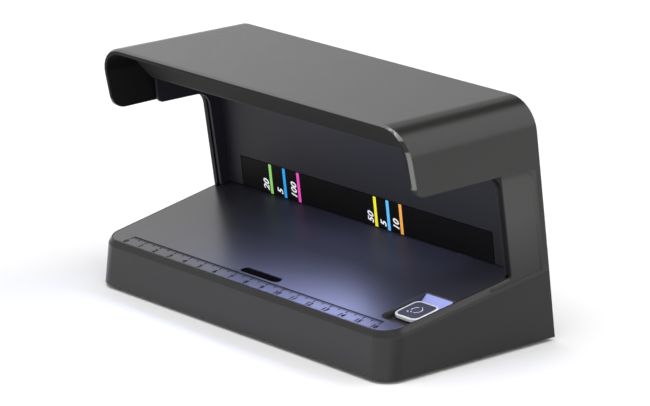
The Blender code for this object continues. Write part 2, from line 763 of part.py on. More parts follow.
def holes_in_deck():
    """Slot, the hole for the button's stem and the pilot holes of the small screws."""
    slot = rounded_rectangle(SLOT_SIZE, SLOT_SIZE[1] / 2 - 0.01, SLOT_PLACE, 6)
    holes = [prism_z(slot, -6.0, 3.0)]
    holes.append(post(STEM_RADIUS + GAP, BUTTON_PLACE, -POCKET_DEPTH - 4.0, -POCKET_DEPTH + 1.0))
    switch_board_top = SWITCH_TOP - SWITCH_HEIGHT
    for place in SWITCH_POSTS:
        holes.append(hole(PILOT_RADIUS, place, switch_board_top - 1.0, switch_board_top + 4.0))
    for place in sensor_post_places():
        holes.append(hole(PILOT_RADIUS, place, sensor_bracket_top() - 1.0, -DECK_THICKNESS - 1.0))
    return holes


def head_top():
    """Upper face of the magnetic head, below the deck's upper face."""
    return -DECK_THICKNESS - 2 * GAP - SLOT_WINDOW_FLANGE[1]


def sensor_bracket_top():
    """Upper face of the sensor bracket, below the deck's upper face."""
    return head_top() - HEAD_SIZE[2] - GAP


def sensor_post_places():
    """Places of the two posts beside the slot."""
    x, v = SLOT_PLACE
    return [(x - SENSOR_POST_REACH, v), (x + SENSOR_POST_REACH, v)]


def build_sensor(deck_frame, gloss_black, steel, ferrite):
    """Window in the slot, the magnetic head below it and the bracket that holds the head."""
    flange_top = -DECK_THICKNESS - GAP
    reach, thickness = SLOT_WINDOW_FLANGE
    steps = [(reach, flange_top - thickness), (reach, flange_top), (-GAP, flange_top), (-GAP, -0.25)]
    rings = []
    for extra, level in steps:
        size = (SLOT_SIZE[0] + 2 * extra, SLOT_SIZE[1] + 2 * extra)
        outline = rounded_rectangle(size, size[1] / 2 - 0.01, SLOT_PLACE, 6)
        rings.append([(x, y, level) for x, y in outline])
    add_solid("sensor_window", loft(rings), gloss_black, deck_frame)
    outline = rounded_rectangle(HEAD_SIZE[:2], 0.8, SLOT_PLACE, 3)
    head = prism_z(outline, head_top() - HEAD_SIZE[2], head_top())
    add_solid("magnetic_head", head, ferrite, deck_frame)
    top = sensor_bracket_top()
    low = top - BRACKET_SIZE[2]
    plate = prism_z(rounded_rectangle(BRACKET_SIZE[:2], 1.5, SLOT_PLACE, 3), low, top)
    bracket = add_solid("sensor_bracket", plate, steel, deck_frame)
    places = sensor_post_places()
    holes = [hole(THROUGH_RADIUS, place, low - 2.0, top + 2.0) for place in places]
    cut(bracket, add_form("bracket_holes_form", grouped(holes), deck_frame))
    screws = [screw(BOARD_SCREW, place, low - GAP, True) for place in places]
    add_numbered("sensor_screw", screws, steel, deck_frame)


def build_button(button_frame, white, inlay):
    """Button cap with its stem, and the dark inlay in its top; Z runs along the travel."""
    low = -BUTTON_THICKNESS
    rings = []
    for inset, level in ((0.2, low), (0.0, low + 0.2), (0.0, -0.3), (0.3, 0.0)):
        size = (BUTTON_SIZE[0] - 2 * inset, BUTTON_SIZE[1] - 2 * inset)
        rings.append([(x, y, level) for x, y in rounded_rectangle(size, BUTTON_CORNER - inset)])
    cap = add_solid("button_cap", loft(rings), white, button_frame)
    stem = post(STEM_RADIUS, (0.0, 0.0), STEM_END + BUTTON_SUNK, low + 0.4)
    join(cap, add_form("stem_form", stem, button_frame))
    inner = (BUTTON_SIZE[0] - 2 * BUTTON_RIM, BUTTON_SIZE[1] - 2 * BUTTON_RIM)
    corner = BUTTON_CORNER - BUTTON_RIM
    seat = prism_z(rounded_rectangle(inner, corner), -FACE_THICKNESS - GAP, 1.0)
    cut(cap, add_form("inlay_seat_form", seat, button_frame))
    face_size = (inner[0] - 0.4, inner[1] - 0.4)
    face = prism_z(rounded_rectangle(face_size, corner - 0.2), -FACE_THICKNESS, 0.0)
    add_solid("button_face", face, inlay, button_frame)


def build_switch(deck_frame, plunger_frame, materials):
    """Switch board under the pocket, its push switch and the two screws."""
    x, v = BUTTON_PLACE
    half = SWITCH_SIZE / 2
    low = SWITCH_TOP - SWITCH_HEIGHT
    body = box((x - half, x + half), (v - half, v + half), (low, SWITCH_TOP))
    switch = add_solid("push_switch_body", body, materials["steel"], deck_frame)
    plunger_low = STEM_END - GAP - PLUNGER_LENGTH
    bore_floor = plunger_low - BUTTON_TRAVEL - GAP
    bore = post(PLUNGER_RADIUS + GAP, (x, v), bore_floor, SWITCH_TOP + 1.0)
    cut(switch, add_form("plunger_bore_form", bore, deck_frame))
    plunger = turned([(PLUNGER_RADIUS, -PLUNGER_LENGTH), (PLUNGER_RADIUS, -0.3), (PLUNGER_RADIUS - 0.3, 0.0)])
    add_solid("push_switch_plunger", plunger, materials["dark_plastic"], plunger_frame)
    top = low - GAP
    board_low = top - BOARD_THICKNESS
    plate = box(SWITCH_BOARD_X, SWITCH_BOARD_V, (board_low, top))
    board = add_solid("switch_board", plate, materials["board"], deck_frame)
    holes = [hole(THROUGH_RADIUS, place, board_low - 2.0, top + 2.0) for place in SWITCH_POSTS]
    cut(board, add_form("switch_board_holes_form", grouped(holes), deck_frame))
    screws = [screw(BOARD_SCREW, place, board_low - GAP, True) for place in SWITCH_POSTS]
    add_numbered("switch_board_screw", screws, materials["steel"], deck_frame)


def build_bottom(base_frame, plastic, rubber, steel):
    """Bottom cover with posts for the control board, four feet and four screws."""
    inset = BASE_WALL + GAP
    corner = BASE_CORNER_RADIUS - inset
    outline = plan_ring(inset, COVER_REAR_Y, lambda y: bottom_half(y) - inset, corner, lambda y: 0.0)
    plate = prism_z([(x, y) for x, y, _ in outline], 0.0, COVER_THICKNESS)
    cover = add_solid("bottom_cover", plate, plastic, base_frame)
    posts = [post(POST_RADIUS, place, 1.0, CONTROL_BOARD_Z - GAP) for place in CONTROL_POSTS]
    holes = [hole(PILOT_RADIUS, place, 2.6, CONTROL_BOARD_Z + 1.0) for place in CONTROL_POSTS]
    shank, head, height, _ = CASE_SCREW
    seat = height + GAP
    profile = [(head + GAP, -1.0), (head + GAP, seat), (shank + GAP, seat), (shank + GAP, 4.0)]
    holes += [turned(profile, place) for place in DECK_POSTS]
    holes += [post(FOOT_RADIUS + GAP, place, -1.0, FOOT_SEAT) for place in FOOT_PLACES.values()]
    join(cover, add_form("cover_posts_form", grouped(posts), base_frame))
    cut(cover, add_form("cover_holes_form", grouped(holes), base_frame))
    screws = [screw(CASE_SCREW, place, height, True) for place in DECK_POSTS]
    add_numbered("bottom_screw", screws, steel, base_frame)
    for label, (x, y) in FOOT_PLACES.items():
        profile = [(FOOT_RADIUS - 0.5, -FOOT_HEIGHT), (FOOT_RADIUS, -FOOT_HEIGHT + 0.5)]
        profile += [(FOOT_RADIUS, FOOT_SEAT - GAP)]
        add_solid("foot_" + label, turned(profile), rubber, base_frame, (x, y, 0.0))


def build_rear_screws(base_frame, steel):
    """Four screws in the rear face, which hold the liner."""
    screws = []
    for x, z in REAR_SCREW_PLACES:
        screws.append(aimed_at_rear(screw(REAR_SCREW, (0.0, 0.0), REAR_SCREW_SEAT, False), x, z))
    add_numbered("rear_screw", screws, steel, base_frame)


def build_lamp(base_frame, materials):
    """Window, LED board, LEDs, connector and screws in the hood."""
    window_low = CEILING_Z + LINER_WALL + GAP
    outline = rounded_rectangle(WINDOW_SIZE, 2.0, (0.0, LAMP_Y), 2)
    window = prism_z(outline, window_low, window_low + WINDOW_THICKNESS)
    add_solid("lamp_window", window, materials["violet_glass"], base_frame)
    half_x, half_y = LAMP_BOARD_SIZE[0] / 2, LAMP_BOARD_SIZE[1] / 2
    board_top = LAMP_BOARD_Z + BOARD_THICKNESS
    plate = box((-half_x, half_x), (LAMP_Y - half_y, LAMP_Y + half_y), (LAMP_BOARD_Z, board_top))
    board = add_solid("uv_led_board", plate, materials["aluminium"], base_frame)
    holes = [hole(THROUGH_RADIUS, place, LAMP_BOARD_Z - 2.0, board_top + 2.0) for place in LAMP_POSTS]
    cut(board, add_form("led_board_holes_form", grouped(holes), base_frame))
    screws = [screw(BOARD_SCREW, place, board_top + GAP, False) for place in LAMP_POSTS]
    add_numbered("led_board_screw", screws, materials["steel"], base_frame)
    for index in range(LED_COUNT):
        x = (index - (LED_COUNT - 1) / 2) * LED_PITCH
        add_solid("uv_led_" + str(index + 1), led_solid(), materials["led"], base_frame,
                  (x, LAMP_Y, LAMP_BOARD_Z - GAP))
    connector = connector_solid(LED_CONNECTOR_PLACE, 8.0, board_top + GAP, 5.0)
    add_solid("led_board_connector", connector, materials["white_plastic"], base_frame)


def led_solid():
    """LED package with its lens downwards; its top lies at Z = 0."""
    shapes = [(2.6, 1.2, -LED_HEIGHT - LED_LENS), (3.6, 1.7, -LED_HEIGHT)]
    shapes += [(LED_SIZE, 0.4, -LED_HEIGHT), (LED_SIZE, 0.4, 0.0)]
    rings = []
    for size, radius, level in shapes:
        outline = rounded_rectangle((size, size), radius, (0.0, 0.0), 3)
        rings.append([(x, y, level) for x, y in outline])
    return loft(rings)


def connector_solid(place, width, low, height):
    """Plug housing on a board."""
    x, y = place
    half = CONNECTOR_DEPTH / 2
    return box((x - width / 2, x + width / 2), (y - half, y + half), (low, low + height))


def build_control_board(base_frame, materials):
    """Control board with its components, connectors and screws."""
    board_top = CONTROL_BOARD_Z + BOARD_THICKNESS
    plate = box(CONTROL_BOARD_X, CONTROL_BOARD_Y, (CONTROL_BOARD_Z, board_top))
    board = add_solid("control_board", plate, materials["board"], base_frame)
    holes = [hole(THROUGH_RADIUS, place, CONTROL_BOARD_Z - 2.0, board_top + 2.0) for place in CONTROL_POSTS]
    cut(board, add_form("control_board_holes_form", grouped(holes), base_frame))
    screws = [screw(BOARD_SCREW, place, board_top + GAP, False) for place in CONTROL_POSTS]
    add_numbered("control_board_screw", screws, materials["steel"], base_frame)
    outline = rounded_rectangle(CHIP_SIZE[:2], 0.5, CHIP_PLACE, 1)
    chip = prism_z(outline, PARTS_Z, PARTS_Z + CHIP_SIZE[2])
    add_solid("controller_chip", chip, materials["dark_plastic"], base_frame)
    radius, height = CAPACITOR_SIZE
    can = turned([(radius - 0.3, 0.0), (radius, 0.5), (radius, height - 0.5), (radius - 0.4, height)])
    add_solid("filter_capacitor", can, materials["aluminium"], base_frame, (*CAPACITOR_PLACE, PARTS_Z))
    radius, height = BUZZER_SIZE
    drum = turned([(radius, 0.0), (radius, height - 0.4), (radius - 0.4, height)])
    buzzer = add_solid("buzzer", drum, materials["dark_plastic"], base_frame, (*BUZZER_PLACE, PARTS_Z))
    mouth = hole(BUZZER_MOUTH, BUZZER_PLACE, PARTS_Z + height - 3.0, PARTS_Z + height + 2.0)
    cut(buzzer, add_form("buzzer_mouth_form", mouth, base_frame))
    for name, (x, y, width) in CONNECTORS.items():
        connector = connector_solid((x, y), width, PARTS_Z, CONNECTOR_HEIGHT)
        add_solid(name, connector, materials["white_plastic"], base_frame)


def build_jack(base_frame, plastic):
    """Power inlet for a round plug, its nose in the hole of the rear wall."""
    width, depth, height = JACK_SIZE
    z = PARTS_Z + height / 2
    sides = (JACK_X - width / 2, JACK_X + width / 2)
    body = box(sides, (JACK_REAR_Y - depth, JACK_REAR_Y), (PARTS_Z, PARTS_Z + height))
    jack = add_solid("dc_jack", body, plastic, base_frame)
    nose_end = rear_y(z) - JACK_NOSE_SETBACK - JACK_REAR_Y

    def jack_form(name, radius, start, end):
        form = post(radius, (0.0, 0.0), start, end)
        return add_form(name, aimed_along_y(form, JACK_X, JACK_REAR_Y, z), base_frame)

    join(jack, jack_form("jack_nose_form", JACK_NOSE_RADIUS, -1.0, nose_end))
    cut(jack, jack_form("jack_bore_form", JACK_BORE_RADIUS, -JACK_BORE_DEPTH, nose_end + 2.0))
    join(jack, jack_form("jack_pin_form", JACK_PIN_RADIUS, -JACK_BORE_DEPTH - 1.0, nose_end - 1.0))


def smooth_route(points, pieces):
    """Points along a smooth curve through the given ones."""
    ends = [2 * points[0] - points[1]] + points + [2 * points[-1] - points[-2]]
    route = []
    for here in range(1, len(ends) - 2):
        before, start, end, after = ends[here - 1:here + 3]
        for piece in range(pieces):
            t = piece / pieces
            place = 2 * start + (end - before) * t
            place += (2 * before - 5 * start + 4 * end - after) * t ** 2
            place += (3 * start - before - 3 * end + after) * t ** 3
            route.append(place / 2)
    return route + [points[-1]]


def build_cable(name, corners, diameter, material, base_frame):
    """Internal lead along a smooth route."""
    curve = bpy.data.curves.new(name, "CURVE")
    curve.dimensions = "3D"
    curve.bevel_depth = diameter / 2 * MM
    curve.bevel_resolution = 2
    curve.use_fill_caps = True
    route = smooth_route([Vector(corner) for corner in corners], 4)
    spline = curve.splines.new("POLY")
    spline.points.add(len(route) - 1)
    for point, place in zip(spline.points, route):
        point.co = (*(place * MM), 1.0)
    curve.materials.append(material)
    lead = bpy.data.objects.new(name, curve)
    bpy.context.scene.collection.objects.link(lead)
    lead.parent = base_frame


def build_cables(base_frame, materials):
    """Leads from the control board to the lamp, the sensor and the switch."""
    top = PARTS_Z + CONNECTOR_HEIGHT + GAP
    lamp = [(34.0, 78.0, top), (34.0, 78.8, 20.0), (34.0, 81.2, 32.0), (34.0, 79.3, 47.0)]
    lamp += [(34.0, 76.5, 65.0), (34.0, 74.2, 80.0), (34.0, 71.0, 91.0), (34.0, 64.0, 97.0)]
    lamp.append((34.0, 56.3, 97.4))
    build_cable("lamp_cable", lamp, LAMP_LEAD, materials["cable"], base_frame)
    sensor = [(1.0, 17.2, 16.3), (1.2, 20.5, 15.5), (3.0, 30.0, 12.5), (8.0, 42.0, 12.5)]
    sensor += [(15.0, 52.0, 12.5), (16.0, 57.7, 11.4)]
    build_cable("sensor_cable", sensor, THIN_LEAD, materials["cable"], base_frame)
    switch = [(82.4, 43.9, 13.8), (82.3, 46.5, 13.8), (79.0, 52.0, 13.5), (72.5, 58.0, 12.5)]
    switch.append((65.3, 62.0, 11.4))
    build_cable("switch_cable", switch, THIN_LEAD, materials["cable"], base_frame)


def make_materials():
    """Materials by name, with the colours of the unit."""
    return {
        "black_plastic": make_material("black_plastic", (0.035, 0.035, 0.034), 0.42),
        "chamber_plastic": make_material("chamber_plastic", (0.022, 0.023, 0.028), 0.45),
        "deck_plastic": make_material("deck_plastic", (0.05, 0.05, 0.055), 0.4),
        "dark_plastic": make_material("dark_plastic", (0.012, 0.012, 0.013), 0.5),
        "gloss_black": make_material("gloss_black", (0.006, 0.006, 0.007), 0.2),
        "label_paper": make_material("label_paper", (0.008, 0.008, 0.008), 0.55),
        "white_plastic": make_material("white_plastic", (0.85, 0.85, 0.86), 0.35),
        "inlay": make_material("inlay", (0.05, 0.055, 0.09), 0.3),
        "rubber": make_material("rubber", (0.02, 0.02, 0.02), 0.85),
        "steel": make_material("steel", (0.55, 0.55, 0.56), 0.3, 1.0),
        "ferrite": make_material("ferrite", (0.12, 0.12, 0.13), 0.5, 0.6),
        "aluminium": make_material("aluminium", (0.75, 0.76, 0.77), 0.35, 1.0),
        "board": make_material("board", (0.02, 0.16, 0.06), 0.45),
        "violet_glass": make_material("violet_glass", (0.25, 0.2, 0.75), 0.1),
        "led": make_material("led", (0.75, 0.7, 0.95), 0.25),
        "cable": make_material("cable", (0.03, 0.03, 0.03), 0.55),
    }


def main():
    """Builds the whole unit."""
    for item in list(bpy.data.objects):
        bpy.data.objects.remove(item, do_unlink=True)
    materials = make_materials()
    base_frame = add_empty("base_frame", None, (0.0, -BASE_DEPTH / 2, FOOT_HEIGHT))
    deck_origin = (0.0, DECK_FRONT_Y, DECK_FRONT_Z)
    deck_frame = add_empty("deck_frame", base_frame, deck_origin, math.atan(DECK_SLOPE))
    button_frame = add_empty("button_frame", deck_frame, (*BUTTON_PLACE, -BUTTON_SUNK))
    plunger_frame = add_empty("plunger_frame", deck_frame, (*BUTTON_PLACE, STEM_END - GAP))
    wall_z = wall_foot_z()
    wall_origin = (0.0, chamber_rear_y(wall_z), wall_z)
    wall_frame = add_empty("wall_frame", base_frame, wall_origin, math.atan(CHAMBER_REAR_LEAN))
    build_outer_housing(base_frame, materials["black_plastic"])
    build_chamber_liner(base_frame, wall_frame, materials["chamber_plastic"])
    build_label(wall_frame, materials["label_paper"])
    build_deck(base_frame, deck_frame, materials["deck_plastic"])
    build_sensor(deck_frame, materials["gloss_black"], materials["steel"], materials["ferrite"])
    build_button(button_frame, materials["white_plastic"], materials["inlay"])
    build_switch(deck_frame, plunger_frame, materials)
    build_bottom(base_frame, materials["black_plastic"], materials["rubber"], materials["steel"])
    build_rear_screws(base_frame, materials["steel"])
    build_lamp(base_frame, materials)
    build_control_board(base_frame, materials)
    build_jack(base_frame, materials["dark_plastic"])
    build_cables(base_frame, materials)


main()
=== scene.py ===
"""Looks of the banknote detector: materials, printed marks, lamp glow, studio and camera."""

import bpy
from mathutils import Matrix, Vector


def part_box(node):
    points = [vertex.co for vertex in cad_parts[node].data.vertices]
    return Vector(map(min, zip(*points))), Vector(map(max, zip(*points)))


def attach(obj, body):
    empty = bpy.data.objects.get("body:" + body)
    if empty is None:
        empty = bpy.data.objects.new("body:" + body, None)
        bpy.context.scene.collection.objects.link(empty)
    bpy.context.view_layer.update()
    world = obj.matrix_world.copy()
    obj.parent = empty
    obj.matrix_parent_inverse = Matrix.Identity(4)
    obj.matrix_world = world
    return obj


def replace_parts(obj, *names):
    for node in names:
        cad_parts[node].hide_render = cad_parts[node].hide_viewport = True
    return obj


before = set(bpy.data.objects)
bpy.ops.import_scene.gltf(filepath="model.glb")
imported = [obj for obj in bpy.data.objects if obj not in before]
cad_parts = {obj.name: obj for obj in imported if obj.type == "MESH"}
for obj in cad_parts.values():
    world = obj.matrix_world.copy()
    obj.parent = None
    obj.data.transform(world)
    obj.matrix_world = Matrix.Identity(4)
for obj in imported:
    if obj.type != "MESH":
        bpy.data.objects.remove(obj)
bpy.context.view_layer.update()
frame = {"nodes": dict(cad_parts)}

import fnmatch
import math

import bmesh
import bpy
from mathutils import Matrix, Vector

NODES = frame["nodes"]
MM = 0.001
WHITE = (1.0, 1.0, 1.0)

# Rise of the deck and of the base's rim towards the rear
DECK_SLOPE = 0.162
RIM_SLOPE = 0.16

# Lean of the chamber's rear wall, the hood's front edge, the pillars' front and the rear face
WALL_LEAN = 0.129
LIP_LEAN = 0.225
PILLAR_LEAN = 0.16
REAR_LEAN = 0.14

# Origins of the frames of the deck and of the chamber's rear wall, and the button's place in the deck frame
DECK_ORIGIN = (0.0, -44.05, 21.6)
WALL_ORIGIN = (0.0, 27.56, 33.2)
BUTTON_PLACE = (82.65, 24.25, -1.0)

# Printed inks: limits of the film, steps in the curves of a number, then colour, painted glow and specular
# level
INK_LAYER = (-0.02, 0.02)
NUMBER_STEPS = 4
WHITE_INK = ((0.85, 0.85, 0.88), 0.5, 0.5)
RULER_INK = ((0.003, 0.003, 0.004), 0.0, 0.02)
MARK_PAINTED_GLOW = 0.45
MARK_SPECULAR = 0.1

# Ruler on the deck, in the deck frame; ticks are listed by their pitch
RULER_START = -78.9
RULER_LENGTH = 160
RULER_OVERHANG = 0.2
RULER_LINE = (7.0, 7.6)
RULER_TICK_END = {1: 5.9, 5: 4.85, 10: 4.55}
RULER_TICK_WIDTH = {1: 0.48, 5: 0.56, 10: 0.62}
RULER_NUMBER_SIZE = 3.8
RULER_NUMBER_Y = 1.05
RULER_NUMBER_WEIGHT = 0.17

# Marks on the label, in the frame of the rear wall: place across, number and colour
LABEL_HEIGHT = (0.6, 14.4)
MARK_WIDTH = 1.75
MARKS = (
    (-61.5, "20", (0.32, 0.72, 0.18)),
    (-52.3, "5", (0.03, 0.42, 0.9)),
    (-42.9, "100", (0.9, 0.09, 0.5)),
    (6.9, "50", (0.92, 0.86, 0.04)),
    (14.9, "5", (0.12, 0.55, 0.95)),
    (23.0, "10", (0.95, 0.42, 0.08)),
)
MARK_NUMBER_SIZE = 4.9
MARK_NUMBER_WEIGHT = 0.13
MARK_NUMBER_SLANT = 0.25
MARK_NUMBER_GAP = 0.9
MARK_NUMBER_START = 1.7

# Symbol on the button, in its frame: radii and arcs of the broken ring, and limits of the small bars
ICON_RING = (2.35, 2.6)
ICON_ARCS = ((-75, 70), (112, 205), (235, 262))
ICON_ARC_STEPS = 16
ICON_BARS = (((-0.2, 0.2), (2.9, 3.3)), ((-2.9, -2.65), (-3.1, -2.1)), ((-2.9, -1.9), (-3.1, -2.85)))

# Lamps in the hood
LED_PITCH = 25.0
LED_COUNT = 6

# Outer screws: shank, head with a straight rim under a dome, and the arms of the cross recess
SHANK_RADIUS = 1.45
SHANK_LENGTH = 7.5
HEAD_RADIUS = 3.0
HEAD_RIM = 0.55
HEAD_DOME = 0.45
HEAD_DOME_ANGLES = (0.35, 0.7, 1.05, 1.3)
HEAD_SIDES = 24
HEAD_EDGE = 0.06
RECESS_ARM = (3.4, 0.72, 1.4)
RECESS_TAPER = 0.55

# Places of the outer screws: X and height over the rear face's foot, place of that foot, how deep a rear head
# is seated in its face, and how far a bottom head's seat lies over its lowest point
REAR_SCREWS = ((-60.0, 44.0), (60.0, 44.0), (-60.0, 80.0), (60.0, 80.0))
REAR_FOOT_Y = 47.05
REAR_FOOT_Z = 1.5
REAR_SEAT = 1.2
BOTTOM_SCREWS = (1, 2, 3, 4)
BOTTOM_SEAT = 1.0

# Edges: least angle that is rounded and least angle that stays sharp, in degrees, plain segments of a rounded
# edge, plain distance of a weld in millimetres and how strongly large faces rule the shading
BEVEL_ANGLE = 26.0
SHARP_ANGLE = 34.0
EDGE_SEGMENTS = 2
WELD_DISTANCE = 0.001
FACE_WEIGHT = 80

# Weights of |X|, Y and Z whose sum grows in the named direction or to the named side of a face
OUT = (1, 0, 0)
IN = (-1, 0, 0)
FRONT = (0, -1, 0)
BACK = (0, 1, 0)
UP = (0, 0, 1)
DOWN = (0, 0, -1)
OUT_UP = (1, 0, 1)
FRONT_DOWN = (0, -1, -1)
OVER_DECK = (0, -DECK_SLOPE, 1)
UNDER_DECK = (0, DECK_SLOPE, -1)
UNDER_RIM = (0, RIM_SLOPE, -1)
BEFORE_REAR = (0, -1, -REAR_LEAN)
BEFORE_PILLAR = (0, -1, -PILLAR_LEAN)
BEFORE_LIP = (0, -1, -LIP_LEAN)
BEHIND_LIP = (0, 1, LIP_LEAN)

# Regions of the housing, liner and deck. Each side has its weights, its limit in millimetres and, where it
# isn't the plain one, the softness of its border.
SOFT_BORDER = 0.25
SHOULDER_INSIDE = (((-1, 0, -1), -193.6, 0.1), ((-1, 0, -2), -297.0, 0.1), ((-2, 0, -1), -287.5, 0.1))
HOOD_INSIDE = ((IN, -94.6), (DOWN, -104.3), *SHOULDER_INSIDE, (UP, 70.0), (FRONT, -12.0))
HOOD_LIP = ((BEFORE_LIP, 17.15, 0.1), (UP, 70.0))
SKIRT_CHAMFER = ((OUT, 95.3), (UP, 81.0), (DOWN, -97.0), (BEFORE_LIP, 15.5), (BEHIND_LIP, -17.2, 0.1))
TOP_CHAMFER = ((UP, 104.9), (BEFORE_LIP, 15.6), (BEHIND_LIP, -17.2, 0.1))
CORNER_CHAMFER = ((OUT_UP, 194.3, 0.1), (UP, 101.5), (BEFORE_LIP, 15.6), (BEHIND_LIP, -17.2, 0.1))
PILLAR_RECESS = ((OUT, 94.2), (BEFORE_REAR, -44.2, 1.0), (OVER_DECK, 26.6), (DOWN, -75.8, 2.0))
PILLAR_FOOT = ((OUT, 94.2), (BEFORE_REAR, -44.6), (OVER_DECK, 26.6), (DOWN, -46.0, 12.0))
PILLAR_FRONT = ((OUT, 91.5), (BEFORE_PILLAR, -27.7), (OVER_DECK, 29.2), (DOWN, -77.4))
BASE_SIDE = ((OUT, 92.0, 1.0), (UNDER_RIM, -25.0))
BASE_FRONT = ((FRONT, 41.0, 3.0), (UNDER_RIM, -26.0))
FRONT_BAND = ((FRONT_DOWN, -74.3), (BACK, -36.0), (UP, 88.5))
DECK_REAR = ((IN, -66.0, 8.0), (BACK, 8.0, 10.0))
BUTTON_POCKET = ((OUT, 74.0), (IN, -91.0), (UNDER_DECK, -28.4, 0.1))
BUTTON_RAMP = ((OUT, 75.4, 0.2), (IN, -91.0), (BACK, -18.0), (UNDER_DECK, -28.4, 0.1))

# Zones of painted light and shade, each with its own roughness and specular level: region, colour, roughness
# and specular level; a later zone covers an earlier one
HOUSING_PAINTED_LIGHT_ZONES = (
    # Painted light: the base's front lighter than the rest
    (BASE_FRONT, (0.023, 0.023, 0.022), 0.27, 0.38),
    # Painted light on the pillar recess, and painted shade darkening its lower part
    (PILLAR_RECESS, (0.041, 0.041, 0.04), 0.3, 0.38),
    (PILLAR_FOOT, (0.02, 0.02, 0.0195), 0.3, 0.3),
    # Painted shade on the pillars' fronts, the hood's inside and the hood's lip
    (PILLAR_FRONT, (0.006, 0.006, 0.006), 0.5, 0.2),
    (HOOD_INSIDE, (0.003, 0.003, 0.003), 0.6, 0.2),
    (HOOD_LIP, (0.008, 0.008, 0.0075), 0.6, 0.2),
    # Painted highlights on the chamfers of the skirt, the top and the corner
    (SKIRT_CHAMFER, (0.12, 0.12, 0.116), 0.2, 1.0),
    (TOP_CHAMFER, (0.08, 0.08, 0.078), 0.25, 1.0),
    (CORNER_CHAMFER, (0.15, 0.15, 0.146), 0.25, 1.0),
    # Painted shade on the base's sides
    (BASE_SIDE, (0.0125, 0.0125, 0.0118), 0.3, 0.28),
)
# Painted light: the liner's front band lighter and warmer than the rest of the liner
LINER_PAINTED_LIGHT_ZONES = ((FRONT_BAND, (0.024, 0.024, 0.0215), 0.85, 0.2),)
DECK_PAINTED_LIGHT_ZONES = (
    # Painted lamp light: the deck's rear paler and bluer, with a duller finish
    (DECK_REAR, (0.028, 0.029, 0.033), 0.5, 0.35),
    # The pocket lighter than the deck, with a lower specular level
    (BUTTON_POCKET, (0.045, 0.046, 0.048), 0.4, 0.5),
    # Painted lamp light: the ramp behind the button in lilac
    (BUTTON_RAMP, (0.42, 0.47, 0.85), 0.5, 0.5),
)

# Moulded plastics: colour, roughness, specular level, size and depth of the grain in millimetres, and zones
# of painted light and shade
MOULDED_PLASTICS = {
    "housing_plastic": ((0.0137, 0.0137, 0.0129), 0.27, 0.38, 0.42, 0.009, HOUSING_PAINTED_LIGHT_ZONES),
    "chamber_plastic": ((0.018, 0.0185, 0.022), 0.5, 0.3, 0.5, 0.008, LINER_PAINTED_LIGHT_ZONES),
    "deck_plastic": ((0.023, 0.023, 0.025), 0.29, 0.98, 0.35, 0.006, DECK_PAINTED_LIGHT_ZONES),
}

# Smooth plastics: colour, roughness, coat weight and specular level
SMOOTH_PLASTICS = {
    "slot_window_plastic": ((0.0033, 0.0034, 0.004), 0.6, 0.0, 0.0),
    "dark_component_plastic": ((0.02, 0.02, 0.021), 0.4, 0.0, 0.5),
    "white_button_plastic": ((0.85, 0.85, 0.85), 0.26, 0.35, 0.5),
    "button_inlay_plastic": ((0.07, 0.073, 0.1), 0.5, 0.0, 0.03),
    "label_film": ((0.003, 0.003, 0.003), 0.5, 0.0, 0.12),
    "sensor_ferrite": ((0.03, 0.028, 0.027), 0.45, 0.0, 0.5),
    "cable_sleeve": ((0.015, 0.015, 0.016), 0.45, 0.0, 0.5),
    "connector_nylon": ((0.75, 0.72, 0.62), 0.4, 0.0, 0.5),
}

# Metals: colour, roughness and how much finer the surface lines are across X than along it
METALS = {
    "zinc_steel": ((0.62, 0.62, 0.6), 0.32, 1.0),
    "lamp_board_aluminium": ((0.8, 0.8, 0.8), 0.35, 9.0),
    "black_zinc": ((0.09, 0.09, 0.09), 0.36, 1.0),
}

# Dressing of the CAD nodes: pattern of their names, material and width of the rounded edges, and for some
# also the segments of those edges and the distance within which points are welded
DRESSING = (
    ("outer_housing", "housing_plastic", 0.3, 3, 0.02),
    ("bottom_cover", "housing_plastic", 0.25),
    ("chamber_liner", "chamber_plastic", 0.25, 2, 0.02),
    ("deck_plate", "deck_plastic", 0.15),
    ("sensor_window", "slot_window_plastic", 0.15),
    ("thread_guide_label", "label_film", 0.0),
    ("button_cap", "white_button_plastic", 0.16, 3),
    ("button_face", "button_inlay_plastic", 0.1),
    ("dc_jack", "dark_component_plastic", 0.12),
    ("push_switch_plunger", "dark_component_plastic", 0.12),
    ("controller_chip", "dark_component_plastic", 0.12),
    ("filter_capacitor", "dark_component_plastic", 0.12),
    ("buzzer", "dark_component_plastic", 0.12),
    ("foot_*", "foot_rubber", 0.3, 3),
    ("lamp_window", "violet_filter", 0.15),
    ("uv_led_[1-6]", "lamp_lens", 0.0),
    ("uv_led_board", "lamp_board_aluminium", 0.0),
    ("control_board", "circuit_board_mask", 0.0),
    ("switch_board", "circuit_board_mask", 0.0),
    ("magnetic_head", "sensor_ferrite", 0.15),
    ("sensor_bracket", "zinc_steel", 0.1),
    ("push_switch_body", "zinc_steel", 0.1),
    ("*_cable", "cable_sleeve", 0.0),
    ("*_connector", "connector_nylon", 0.1),
    ("*_board_screw_*", "zinc_steel", 0.1),
    ("sensor_screw_*", "zinc_steel", 0.1),
)

# Range that holds most values of a noise
NOISE_SPAN = (0.3, 0.7)

# Wear along the edges of moulded plastic: how far the rounded normal turns at a worn and at a whole place, as
# cosines, the radius in millimetres, and how much lighter and smoother a worn edge is
WEAR_COSINES = (0.86, 0.995)
WEAR_RADIUS = 0.45
WEAR_LIGHTER = 1.35
WEAR_SMOOTHER = 0.08

